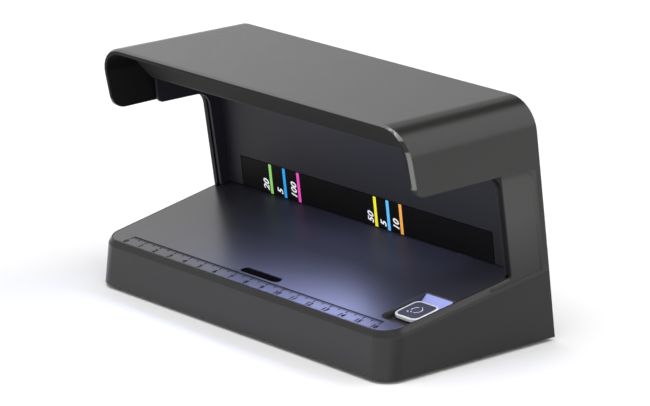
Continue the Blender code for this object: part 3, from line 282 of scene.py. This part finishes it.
# Dark and light colours of the rubber, solder mask, filter pane and lamp lenses
RUBBER_COLOURS = ((0.012, 0.012, 0.012), (0.03, 0.03, 0.029))
MASK_COLOURS = ((0.006, 0.05, 0.02), (0.02, 0.13, 0.05))
PANE_COLOURS = ((0.05, 0.03, 0.25), (0.22, 0.16, 0.75))
PANE_LIGHT = ((0.05, 0.03, 0.5), (0.42, 0.36, 1.0))
LENS_COLOURS = ((0.7, 0.7, 0.5), (0.85, 0.85, 0.7))
LENS_LIGHT = ((0.3, 0.2, 0.9), (0.6, 0.5, 1.0))

# Camera, solved from the straight edges of the photographed object
CAMERA_PLACE = (1.12599, -1.00030, 0.486446)
CAMERA_RIGHT = (0.665617, 0.746294, -0.000410)
CAMERA_UP = (-0.208290, 0.186300, 0.960160)
CAMERA_BACK = (0.716638, -0.639013, 0.279449)
CAMERA_LENS = 204.5
CAMERA_REACH = 50.0
SENSOR_WIDTH = 36.0

# Lights: place and target in metres, size, power, colour and spread in degrees
LAMP_BLUE = (0.5, 0.56, 1.0)
LAMP_PALE = (0.6, 0.64, 1.0)
LIGHTS = (
    ("key", (0.1, -0.4, 1.6), (0.0, 0.0, 0.0), (0.9, 0.9), 9.0, WHITE, 180.0),
    ("lamp_glow", (-0.042, 0.002, 0.0855), (-0.02, -0.05, 0.02), (0.09, 0.02), 0.027, LAMP_BLUE, 100.0),
    ("lamp_fill", (0.03, 0.002, 0.0855), (0.03, 0.0, 0.02), (0.12, 0.02), 0.02, LAMP_PALE, 140.0),
)

# Studio floor: half its width in metres, its cells along each side, and its colours
FLOOR_REACH = 6.0
FLOOR_CELLS = 8
FLOOR_COLOURS = ((0.9, 0.9, 0.9), (0.92, 0.92, 0.92))

# Studio surround: level behind the unit from left, -1, to right, 1, level in front, and the change between
SURROUND_BACK = ((-1.0, 1.2), (-0.78, 1.2), (-0.64, 0.6), (-0.42, 0.9), (-0.3, 0.13),
                 (0.02, 0.13), (0.2, 2.1), (0.75, 2.1), (1.0, 0.8))
SURROUND_FRONT = (0.9, 0.9, 0.9)
SURROUND_CHANGE = (0.1, 0.4)


def frame_matrix(origin, slope):
    """Matrix of a frame given in millimetres, tilted about X by a slope."""
    return Matrix.Translation(Vector(origin) * MM) @ Matrix.Rotation(math.atan(slope), 4, "X")


DECK = frame_matrix(DECK_ORIGIN, DECK_SLOPE)
WALL = frame_matrix(WALL_ORIGIN, WALL_LEAN)
BUTTON = DECK @ Matrix.Translation(Vector(BUTTON_PLACE) * MM)


# Objects

def add_object(name, data):
    """Object of some data, linked to the scene."""
    item = bpy.data.objects.new(name, data)
    bpy.context.scene.collection.objects.link(item)
    return item


def mesh_object(name, form):
    """Object whose mesh is a form, which is freed."""
    data = bpy.data.meshes.new(name)
    form.to_mesh(data)
    form.free()
    return add_object(name, data)


def evaluated_mesh(item):
    """New mesh of an object as its modifiers or its font leave it."""
    bpy.context.view_layer.update()
    graph = bpy.context.evaluated_depsgraph_get()
    return bpy.data.meshes.new_from_object(item.evaluated_get(graph))


# Shader helpers

def new_material(name):
    """Material with a Principled shader, its tree and that shader."""
    material = bpy.data.materials.new(name)
    material.use_nodes = True
    tree = material.node_tree
    return material, tree, tree.nodes["Principled BSDF"]


def node(tree, kind, values=None, **settings):
    """Shader node of a kind with its settings and the values of its inputs."""
    made = tree.nodes.new("ShaderNode" + kind)
    for setting, value in settings.items():
        setattr(made, setting, value)
    for key, value in (values or {}).items():
        made.inputs[key].default_value = value
    return made


def place_output(tree):
    """Place on the object in metres."""
    return node(tree, "TexCoord").outputs["Object"]


def place_axes(tree):
    """The three coordinates of the place on the object."""
    axes = node(tree, "SeparateXYZ")
    tree.links.new(place_output(tree), axes.inputs["Vector"])
    return axes.outputs


def noise(tree, size, detail=2.0, roughness=0.5):
    """Noise whose features have the given size in millimetres."""
    made = node(tree, "TexNoise", {"Scale": 1.0 / (size * MM), "Detail": detail, "Roughness": roughness})
    tree.links.new(place_output(tree), made.inputs["Vector"])
    return made.outputs["Fac"]


def remap(tree, source, low, high, from_low=0.0, from_high=1.0):
    """Source mapped from one range to another, held at its ends."""
    ranges = {"From Min": from_low, "From Max": from_high, "To Min": low, "To Max": high}
    made = node(tree, "MapRange", ranges)
    tree.links.new(source, made.inputs["Value"])
    return made.outputs["Result"]


def calculate(tree, operation, first, second=0.0):
    """Math node of an output and an output or a number."""
    made = node(tree, "Math", operation=operation)
    tree.links.new(first, made.inputs[0])
    if isinstance(second, float):
        made.inputs[1].default_value = second
    else:
        tree.links.new(second, made.inputs[1])
    return made.outputs["Value"]


def blend_colours(tree, factor, first, second):
    """Colour between two, each a colour or an output."""
    made = node(tree, "Mix", data_type="RGBA")
    tree.links.new(factor, made.inputs["Factor"])
    for socket, colour in (("A", first), ("B", second)):
        target = [s for s in made.inputs if s.name == socket and s.type == "RGBA"][0]
        if isinstance(colour, tuple):
            target.default_value = (*colour, 1.0)
        else:
            tree.links.new(colour, target)
    return [s for s in made.outputs if s.type == "RGBA"][0]


def blend_values(tree, factor, first, second):
    """Value between a number or an output and a number."""
    made = node(tree, "Mix", {"B": second}, data_type="FLOAT")
    tree.links.new(factor, made.inputs["Factor"])
    if isinstance(first, float):
        made.inputs["A"].default_value = first
    else:
        tree.links.new(first, made.inputs["A"])
    return made.outputs["Result"]


def scaled(colour, factor):
    """Colour made lighter or darker."""
    return tuple(min(1.0, part * factor) for part in colour)


def edge_mask(tree, radius):
    """1 along convex and concave edges within a radius in millimetres, 0 on flat faces."""
    rounded = node(tree, "Bevel", {"Radius": radius * MM}, samples=4)
    geometry = node(tree, "NewGeometry")
    dot = node(tree, "VectorMath", operation="DOT_PRODUCT")
    tree.links.new(rounded.outputs["Normal"], dot.inputs[0])
    tree.links.new(geometry.outputs["Normal"], dot.inputs[1])
    return remap(tree, dot.outputs["Value"], 1.0, 0.0, *WEAR_COSINES)


def beyond(tree, weights, limit, soft=SOFT_BORDER):
    """1 where the weighted sum of |X|, Y and Z in millimetres is over a limit, 0 below it."""
    axes = place_axes(tree)
    total = calculate(tree, "MULTIPLY", calculate(tree, "ABSOLUTE", axes["X"]), float(weights[0]))
    for axis, weight in zip("YZ", weights[1:]):
        share = calculate(tree, "MULTIPLY", axes[axis], float(weight))
        total = calculate(tree, "ADD", total, share)
    return remap(tree, total, 0.0, 1.0, (limit - soft) * MM, (limit + soft) * MM)


def region(tree, sides):
    """1 inside a convex region, given by the weights and limit of each of its sides."""
    inside = None
    for weights, limit, *soft in sides:
        side = beyond(tree, weights, limit, *soft)
        inside = side if inside is None else calculate(tree, "MULTIPLY", inside, side)
    return inside


def add_bump(tree, shader, height, depth):
    """Bump of a depth in millimetres into the shader's normal."""
    bump = node(tree, "Bump", {"Distance": depth * MM})
    tree.links.new(height, bump.inputs["Height"])
    tree.links.new(bump.outputs["Normal"], shader.inputs["Normal"])


# Materials

def moulded_plastic(name, colour, roughness, specular, grain, depth, zones):
    """Spark-eroded moulded plastic: fine grain, faint mottling, worn edges and zones of painted light and
    shade with their own roughness and specular level.
    """
    material, tree, shader = new_material(name)
    mottle = remap(tree, noise(tree, size=9.0, detail=3.0), 0.35, 0.65, *NOISE_SPAN)
    base = blend_colours(tree, mottle, scaled(colour, 0.9), scaled(colour, 1.1))
    cloud = noise(tree, size=14.0, detail=3.0)
    sheen = remap(tree, cloud, roughness - 0.006, roughness + 0.006, *NOISE_SPAN)
    level = specular
    # Each zone lays its painted light and shade over the plastic's own colour
    for sides, painted_light_colour, zone_roughness, zone_specular in zones:
        inside = region(tree, sides)
        base = blend_colours(tree, inside, base, painted_light_colour)
        sheen = blend_values(tree, inside, sheen, zone_roughness)
        level = blend_values(tree, inside, level, zone_specular)
    rubs = remap(tree, noise(tree, size=2.2, detail=4.0, roughness=0.6), 0.0, 1.0, 0.42, 0.62)
    worn = calculate(tree, "MULTIPLY", edge_mask(tree, WEAR_RADIUS), rubs)
    tint = blend_colours(tree, worn, base, scaled(colour, WEAR_LIGHTER))
    tree.links.new(tint, shader.inputs["Base Color"])
    polished = calculate(tree, "MULTIPLY", worn, WEAR_SMOOTHER)
    tree.links.new(calculate(tree, "SUBTRACT", sheen, polished), shader.inputs["Roughness"])
    shader.inputs["Specular IOR Level"].default_value = specular
    tree.links.new(level, shader.inputs["Specular IOR Level"])
    add_bump(tree, shader, noise(tree, size=grain), depth)
    return material


def smooth_plastic(name, colour, roughness, coat, specular):
    """Smooth moulded plastic with a faint ripple and fine handling marks."""
    material, tree, shader = new_material(name)
    cloud = remap(tree, noise(tree, size=5.0, detail=3.0), 0.0, 1.0, *NOISE_SPAN)
    tint = blend_colours(tree, cloud, scaled(colour, 0.94), scaled(colour, 1.05))
    tree.links.new(tint, shader.inputs["Base Color"])
    marks = noise(tree, size=0.9, detail=5.0, roughness=0.7)
    rubbed = remap(tree, marks, roughness - 0.03, roughness + 0.07, 0.35, 0.75)
    tree.links.new(rubbed, shader.inputs["Roughness"])
    shader.inputs["Coat Weight"].default_value = coat
    shader.inputs["Coat Roughness"].default_value = 0.12
    shader.inputs["Specular IOR Level"].default_value = specular
    add_bump(tree, shader, noise(tree, size=3.0), 0.006)
    return material


def printed_ink(name, colour, glow, specular):
    """Printed ink with a slightly uneven film and, where a glow is given, a painted glow as emission."""
    material, tree, shader = new_material(name)
    film = remap(tree, noise(tree, size=0.35, detail=3.0), 0.0, 1.0, *NOISE_SPAN)
    tint = blend_colours(tree, film, scaled(colour, 0.86), colour)
    tree.links.new(tint, shader.inputs["Base Color"])
    # Painted light: the ink glows by its own emission, though it is no lamp
    if glow:
        tree.links.new(tint, shader.inputs["Emission Color"])
        shader.inputs["Emission Strength"].default_value = glow
    shader.inputs["Roughness"].default_value = 0.6
    shader.inputs["Specular IOR Level"].default_value = specular
    add_bump(tree, shader, noise(tree, size=0.2), 0.004)
    return material


def rubber(name):
    """Dull moulded rubber with a dusty mottle."""
    material, tree, shader = new_material(name)
    dust = remap(tree, noise(tree, size=1.6, detail=5.0, roughness=0.65), 0.0, 1.0, 0.4, 0.7)
    tree.links.new(blend_colours(tree, dust, *RUBBER_COLOURS), shader.inputs["Base Color"])
    tree.links.new(remap(tree, dust, 0.72, 0.9), shader.inputs["Roughness"])
    add_bump(tree, shader, noise(tree, size=0.25, detail=3.0), 0.02)
    return material


def metal(name, colour, roughness, stretch):
    """Plated or plain metal with small stains and fine surface lines, drawn along X by a stretch over 1."""
    material, tree, shader = new_material(name)
    stain = remap(tree, noise(tree, size=1.8, detail=4.0), 0.0, 1.0, 0.35, 0.7)
    tree.links.new(blend_colours(tree, stain, scaled(colour, 0.8), colour), shader.inputs["Base Color"])
    tree.links.new(remap(tree, stain, roughness - 0.06, roughness + 0.08), shader.inputs["Roughness"])
    shader.inputs["Metallic"].default_value = 1.0
    stretched = node(tree, "Mapping", {"Scale": (1.0, stretch, stretch)})
    lines = node(tree, "TexNoise", {"Scale": 1.0 / (0.5 * MM), "Detail": 3.0})
    tree.links.new(place_output(tree), stretched.inputs["Vector"])
    tree.links.new(stretched.outputs["Vector"], lines.inputs["Vector"])
    add_bump(tree, shader, lines.outputs["Fac"], 0.004)
    return material


def circuit_board(name):
    """Solder mask over copper tracks: slightly raised, lighter lanes between darker ground."""
    material, tree, shader = new_material(name)
    sizes = {"Mortar Size": 0.35 * MM, "Brick Width": 7.0 * MM, "Row Height": 2.4 * MM}
    lanes = node(tree, "TexBrick", {"Scale": 1.0, "Mortar Smooth": 0.2, **sizes}, offset=0.5)
    tree.links.new(place_output(tree), lanes.inputs["Vector"])
    tree.links.new(blend_colours(tree, lanes.outputs["Fac"], *MASK_COLOURS), shader.inputs["Base Color"])
    cloud = noise(tree, size=1.2, detail=3.0)
    tree.links.new(remap(tree, cloud, 0.25, 0.4), shader.inputs["Roughness"])
    shader.inputs["Coat Weight"].default_value = 0.4
    add_bump(tree, shader, lanes.outputs["Fac"], 0.03)
    return material


def led_distance(tree):
    """Distance across the unit to the nearest lamp, as a share of the pitch."""
    steps = calculate(tree, "DIVIDE", place_axes(tree)["X"], LED_PITCH * MM)
    part = calculate(tree, "FRACT", calculate(tree, "ADD", steps, LED_COUNT / 2))
    return calculate(tree, "ABSOLUTE", calculate(tree, "SUBTRACT", part, 0.5))


def lit_window(name):
    """Violet filter pane, brightest under each lamp."""
    material, tree, shader = new_material(name)
    spot = remap(tree, led_distance(tree), 1.0, 0.0, 0.02, 0.34)
    cloud = noise(tree, size=2.5, detail=3.0)
    haze = calculate(tree, "MULTIPLY", spot, remap(tree, cloud, 0.85, 1.1))
    tree.links.new(blend_colours(tree, spot, *PANE_COLOURS), shader.inputs["Base Color"])
    tree.links.new(blend_colours(tree, haze, *PANE_LIGHT), shader.inputs["Emission Color"])
    shader.inputs["Emission Strength"].default_value = 1.6
    shader.inputs["Roughness"].default_value = 0.15
    shader.inputs["Coat Weight"].default_value = 0.5
    add_bump(tree, shader, noise(tree, size=4.0), 0.01)
    return material


def lamp_lens(name):
    """Glowing lens of an ultraviolet lamp."""
    material, tree, shader = new_material(name)
    core = remap(tree, noise(tree, size=1.0), 0.8, 1.0)
    tree.links.new(blend_colours(tree, core, *LENS_COLOURS), shader.inputs["Base Color"])
    tree.links.new(blend_colours(tree, core, *LENS_LIGHT), shader.inputs["Emission Color"])
    shader.inputs["Emission Strength"].default_value = 6.0
    shader.inputs["Roughness"].default_value = 0.2
    return material


def unit_materials():
    """Materials of the unit's own parts by their names."""
    made = {name: moulded_plastic(name, *finish) for name, finish in MOULDED_PLASTICS.items()}
    made.update({name: smooth_plastic(name, *finish) for name, finish in SMOOTH_PLASTICS.items()})
    made.update({name: metal(name, *finish) for name, finish in METALS.items()})
    made["foot_rubber"] = rubber("foot_rubber")
    made["circuit_board_mask"] = circuit_board("circuit_board_mask")
    made["violet_filter"] = lit_window("violet_filter")
    made["lamp_lens"] = lamp_lens("lamp_lens")
    return made


# Rounded edges on the carried-over solids

def shading_group():
    """Geometry group that shades faces smooth up to an angle and drops stored normals."""
    group = bpy.data.node_groups.new("smooth_by_angle", "GeometryNodeTree")
    group.interface.new_socket("Geometry", in_out="INPUT", socket_type="NodeSocketGeometry")
    group.interface.new_socket("Geometry", in_out="OUTPUT", socket_type="NodeSocketGeometry")
    start = group.nodes.new("NodeGroupInput")
    end = group.nodes.new("NodeGroupOutput")
    stored = group.nodes.new("GeometryNodeRemoveAttribute")
    stored.inputs["Name"].default_value = "custom_normal"
    angle = group.nodes.new("GeometryNodeInputMeshEdgeAngle")
    sharp = group.nodes.new("FunctionNodeCompare")
    sharp.data_type = "FLOAT"
    sharp.operation = "GREATER_THAN"
    sharp.inputs[1].default_value = math.radians(SHARP_ANGLE)
    faces = group.nodes.new("GeometryNodeSetShadeSmooth")
    faces.domain = "FACE"
    edges = group.nodes.new("GeometryNodeSetShadeSmooth")
    edges.domain = "EDGE"
    edges.inputs["Shade Smooth"].default_value = False
    link = group.links.new
    link(start.outputs[0], stored.inputs["Geometry"])
    link(stored.outputs["Geometry"], faces.inputs["Geometry"])
    link(faces.outputs["Geometry"], edges.inputs["Geometry"])
    link(angle.outputs["Unsigned Angle"], sharp.inputs[0])
    link(sharp.outputs["Result"], edges.inputs["Selection"])
    link(edges.outputs["Geometry"], end.inputs[0])
    return group


SHADING = shading_group()


def round_edges(item, width, segments=EDGE_SEGMENTS, weld=WELD_DISTANCE):
    """Welds the faces of a solid, rounds its edges and shades it smooth."""
    merge = item.modifiers.new("weld", "WELD")
    merge.merge_threshold = weld * MM
    if width:
        bevel = item.modifiers.new("edges", "BEVEL")
        bevel.width = width * MM
        bevel.segments = segments
        bevel.limit_method = "ANGLE"
        bevel.angle_limit = math.radians(BEVEL_ANGLE)
        bevel.use_clamp_overlap = False
        bevel.miter_outer = "MITER_ARC"
    smooth = item.modifiers.new("shading", "NODES")
    smooth.node_group = SHADING
    weighted = item.modifiers.new("normals", "WEIGHTED_NORMAL")
    weighted.keep_sharp = True
    weighted.weight = FACE_WEIGHT


def dress(pattern, material, *edges):
    """Gives the CAD nodes of a name pattern a material and rounded edges."""
    for name in fnmatch.filter(NODES, pattern):
        item = NODES[name]
        for slot in item.material_slots:
            slot.material = material
        round_edges(item, *edges)


# Printed marks

def add_piece(name, form, place, material, body="unit"):
    """Object from a form in millimetres, placed in a frame and riding on a body."""
    bmesh.ops.transform(form, matrix=place @ Matrix.Scale(MM, 4), verts=form.verts)
    bmesh.ops.recalc_face_normals(form, faces=form.faces)
    item = mesh_object(name, form)
    item.data.materials.append(material)
    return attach(item, body)


def add_box(form, x, y, z):
    """Adds a box between the given limits to a form."""
    sides = [(b - a) for a, b in (x, y, z)]
    middle = [(a + b) / 2 for a, b in (x, y, z)]
    matrix = Matrix.Translation(middle) @ Matrix.Diagonal((*sides, 1.0))
    bmesh.ops.create_cube(form, size=1.0, matrix=matrix)


def add_number(form, text, size, place, weight, slant=0.0, align="CENTER"):
    """Adds a printed number to a form; place takes it from its own plane into the form's frame."""
    curve = bpy.data.curves.new("number", "FONT")
    curve.body = text
    curve.size = size
    curve.offset = weight
    curve.shear = slant
    curve.align_x = align
    curve.extrude = INK_LAYER[1]
    curve.resolution_u = NUMBER_STEPS
    holder = add_object("number", curve)
    drawn = evaluated_mesh(holder)
    drawn.transform(place)
    form.from_mesh(drawn)
    bpy.data.objects.remove(holder)
    bpy.data.curves.remove(curve)
    bpy.data.meshes.remove(drawn)


def build_ruler(ink):
    """Ruler in centimetres along the deck's front edge."""
    form = bmesh.new()
    ends = (RULER_START - RULER_OVERHANG, RULER_START + RULER_LENGTH + RULER_OVERHANG)
    add_box(form, ends, RULER_LINE, INK_LAYER)
    for step in range(RULER_LENGTH + 1):
        pitch = 10 if step % 10 == 0 else 5 if step % 5 == 0 else 1
        half = RULER_TICK_WIDTH[pitch] / 2
        x = RULER_START + step
        add_box(form, (x - half, x + half), (RULER_TICK_END[pitch], RULER_LINE[0]), INK_LAYER)
        if pitch == 10:
            place = Matrix.Translation((x, RULER_NUMBER_Y, 0.0))
            add_number(form, str(step // 10), RULER_NUMBER_SIZE, place, RULER_NUMBER_WEIGHT)
    add_piece("ruler_print", form, DECK, ink)


def build_marks(white):
    """Coloured marks on the label, each with its number beside it, read from below upwards."""
    numbers = bmesh.new()
    upright = Matrix.Rotation(math.pi / 2, 4, "X") @ Matrix.Rotation(math.pi / 2, 4, "Z")
    for index, (x, text, colour) in enumerate(MARKS, 1):
        form = bmesh.new()
        sides = (x - MARK_WIDTH / 2, x + MARK_WIDTH / 2)
        add_box(form, sides, INK_LAYER, LABEL_HEIGHT)
        ink = printed_ink(f"mark_ink_{index}", colour, MARK_PAINTED_GLOW, MARK_SPECULAR)
        add_piece(f"guide_mark_{index}", form, WALL, ink)
        place = Matrix.Translation((sides[0] - MARK_NUMBER_GAP, 0.0, MARK_NUMBER_START)) @ upright
        add_number(numbers, text, MARK_NUMBER_SIZE, place, MARK_NUMBER_WEIGHT, MARK_NUMBER_SLANT, "LEFT")
    add_piece("guide_numbers", numbers, WALL, white)


def arc_points(radius, start, end, steps):
    """Points of an arc in degrees."""
    angles = [math.radians(start + (end - start) * step / steps) for step in range(steps + 1)]
    return [(radius * math.cos(angle), radius * math.sin(angle)) for angle in angles]


def add_band(form, inner, outer):
    """Adds a flat printed band between two rows of points."""
    rows = [[form.verts.new((x, y, z)) for x, y in row] for z in INK_LAYER for row in (inner, outer)]
    low_in, low_out, high_in, high_out = rows
    for a, b in zip(range(len(inner) - 1), range(1, len(inner))):
        form.faces.new((low_in[a], low_in[b], low_out[b], low_out[a]))
        form.faces.new((high_in[b], high_in[a], high_out[a], high_out[b]))
        form.faces.new((low_in[b], low_in[a], high_in[a], high_in[b]))
        form.faces.new((low_out[a], low_out[b], high_out[b], high_out[a]))
    for end in (0, -1):
        form.faces.new((low_in[end], low_out[end], high_out[end], high_in[end]))


def build_icon(white):
    """Plain symbol on the button: a thin broken ring with a dot over it and a corner mark under it."""
    form = bmesh.new()
    for start, end in ICON_ARCS:
        add_band(form, *[arc_points(radius, start, end, ICON_ARC_STEPS) for radius in ICON_RING])
    for x, y in ICON_BARS:
        add_box(form, x, y, INK_LAYER)
    add_piece("button_icon", form, BUTTON, white, "power_button")


# Outer screws

def screw_form():
    """Turned form of a screw: shank, straight rim and dome, with its seat at Z 0."""
    form = bmesh.new()
    profile = [(SHANK_RADIUS, -SHANK_LENGTH), (SHANK_RADIUS, 0.0)]
    profile += [(HEAD_RADIUS, 0.0), (HEAD_RADIUS, HEAD_RIM)]
    profile += [(HEAD_RADIUS * math.cos(t), HEAD_RIM + HEAD_DOME * math.sin(t)) for t in HEAD_DOME_ANGLES]
    rings = []
    for radius, z in profile:
        points = arc_points(radius, 0, 360 - 360 / HEAD_SIDES, HEAD_SIDES - 1)
        rings.append([form.verts.new((x, y, z)) for x, y in points])
    for low, high in zip(rings, rings[1:]):
        for a in range(HEAD_SIDES):
            b = (a + 1) % HEAD_SIDES
            form.faces.new((low[a], low[b], high[b], high[a]))
    form.faces.new(list(reversed(rings[0])))
    form.faces.new(rings[-1])
    return form


def recess_form(place):
    """Tapered cross that is cut into the top of a screw's head, placed in its frame."""
    length, width, reach = RECESS_ARM
    form = bmesh.new()
    for turn in (0.0, math.pi / 2):
        arm = bmesh.ops.create_cube(form, size=1.0)["verts"]
        for vertex in arm:
            x, y, z = vertex.co
            taper = RECESS_TAPER if z < 0 else 1.0
            vertex.co = Vector((x * length * taper, y * width * taper, z * reach + HEAD_RIM + HEAD_DOME))
        bmesh.ops.rotate(form, verts=arm, matrix=Matrix.Rotation(turn, 3, "Z"))
    bmesh.ops.transform(form, matrix=place @ Matrix.Scale(MM, 4), verts=form.verts)
    return form


def recessed_head(name, cad_node, place, material):
    """Screw with a cross recess in its head, in place of a plain CAD screw."""
    item = add_piece(name, screw_form(), place, material)
    cutter = mesh_object("recess", recess_form(place))
    hollow = item.modifiers.new("recess", "BOOLEAN")
    hollow.object = cutter
    hollow.use_self = True
    made = evaluated_mesh(item)
    item.modifiers.clear()
    item.data = made
    made.materials.clear()
    made.materials.append(material)
    bpy.data.objects.remove(cutter)
    round_edges(item, HEAD_EDGE)
    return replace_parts(item, cad_node)


def rear_head_frame(x, z):
    """Frame of a head in the rear face; its Z points out of the unit."""
    y = REAR_FOOT_Y - REAR_LEAN * z
    turn = Matrix.Rotation(math.atan(REAR_LEAN) - math.pi / 2, 4, "X")
    seat = Matrix.Translation(Vector((0.0, 0.0, -REAR_SEAT)) * MM)
    return Matrix.Translation(Vector((x, y, z + REAR_FOOT_Z)) * MM) @ turn @ seat


def bottom_head_frame(low, high):
    """Frame of a head under the bottom cover from the box of its CAD screw; its Z points down."""
    middle = (low + high) / 2
    foot = Matrix.Translation((middle.x, middle.y, low.z + BOTTOM_SEAT * MM))
    return foot @ Matrix.Rotation(math.pi, 4, "X")


def build_screws(material):
    """Heads in the rear face and under the bottom cover."""
    for index, (x, z) in enumerate(REAR_SCREWS, 1):
        place = rear_head_frame(x, z)
        recessed_head(f"rear_screw_head_{index}", f"rear_screw_{index}", place, material)
    for index in BOTTOM_SCREWS:
        low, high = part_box(f"bottom_screw_{index}")
        place = bottom_head_frame(low, high)
        recessed_head(f"bottom_screw_head_{index}", f"bottom_screw_{index}", place, material)


# Studio

def add_area(name, place, target, size, power, colour, spread):
    """Area light at a place, aimed at a target, both in metres."""
    light = bpy.data.lights.new(name, "AREA")
    light.shape = "RECTANGLE"
    light.size, light.size_y = size
    light.energy = power
    light.color = colour
    light.spread = math.radians(spread)
    item = add_object(name, light)
    aim = Vector(target) - Vector(place)
    item.matrix_world = Matrix.Translation(place) @ aim.to_track_quat("-Z", "Y").to_matrix().to_4x4()


def build_floor():
    """Wide pale floor under the unit."""
    form = bmesh.new()
    bmesh.ops.create_grid(form, x_segments=FLOOR_CELLS, y_segments=FLOOR_CELLS, size=FLOOR_REACH)
    floor = mesh_object("studio_floor", form)
    material, tree, shader = new_material("studio_floor")
    cloud = noise(tree, size=400.0)
    tree.links.new(blend_colours(tree, cloud, *FLOOR_COLOURS), shader.inputs["Base Color"])
    shader.inputs["Roughness"].default_value = 0.9
    shader.inputs["Specular IOR Level"].default_value = 0.1
    floor.data.materials.append(material)


def build_world():
    """Studio surround: two wide soft boxes behind the unit with a gap between; it shows as plain white."""
    world = bpy.data.worlds.new("studio")
    world.use_nodes = True
    tree = world.node_tree
    background = tree.nodes["Background"]
    axes = node(tree, "SeparateXYZ")
    tree.links.new(node(tree, "TexCoord").outputs["Generated"], axes.inputs["Vector"])
    ramp = node(tree, "ValToRGB")
    tree.links.new(remap(tree, axes.outputs["X"], 0.0, 1.0, -1.0, 1.0), ramp.inputs["Fac"])
    points = ramp.color_ramp.elements
    points.remove(points[1])
    for place, level in SURROUND_BACK:
        point = points[0] if place == -1.0 else points.new((place + 1.0) / 2.0)
        point.color = (level, level, level, 1.0)
    back = remap(tree, axes.outputs["Y"], 0.0, 1.0, *SURROUND_CHANGE)
    lit = blend_colours(tree, back, SURROUND_FRONT, ramp.outputs["Color"])
    seen = node(tree, "LightPath").outputs["Is Camera Ray"]
    tree.links.new(blend_colours(tree, seen, lit, WHITE), background.inputs["Color"])
    background.inputs["Strength"].default_value = 1.0
    bpy.context.scene.world = world


def build_camera():
    """Camera at the photograph's viewing angle."""
    camera = bpy.data.cameras.new("camera")
    camera.lens = CAMERA_LENS
    camera.sensor_width = SENSOR_WIDTH
    camera.clip_end = CAMERA_REACH
    item = add_object("camera", camera)
    axes = Matrix((CAMERA_RIGHT, CAMERA_UP, CAMERA_BACK)).transposed().to_4x4()
    item.matrix_world = Matrix.Translation(CAMERA_PLACE) @ axes
    bpy.context.scene.camera = item


def main():
    """Dresses the unit and sets the studio around it."""
    made = unit_materials()
    for pattern, material, *edges in DRESSING:
        dress(pattern, made[material], *edges)
    build_screws(made["black_zinc"])
    white_ink = printed_ink("white_ink", *WHITE_INK)
    build_ruler(printed_ink("ruler_ink", *RULER_INK))
    build_marks(white_ink)
    build_icon(white_ink)
    build_floor()
    build_world()
    for light in LIGHTS:
        add_area(*light)
    build_camera()
    view = bpy.context.scene.view_settings
    view.view_transform = "Standard"
    view.look = "None"


main()
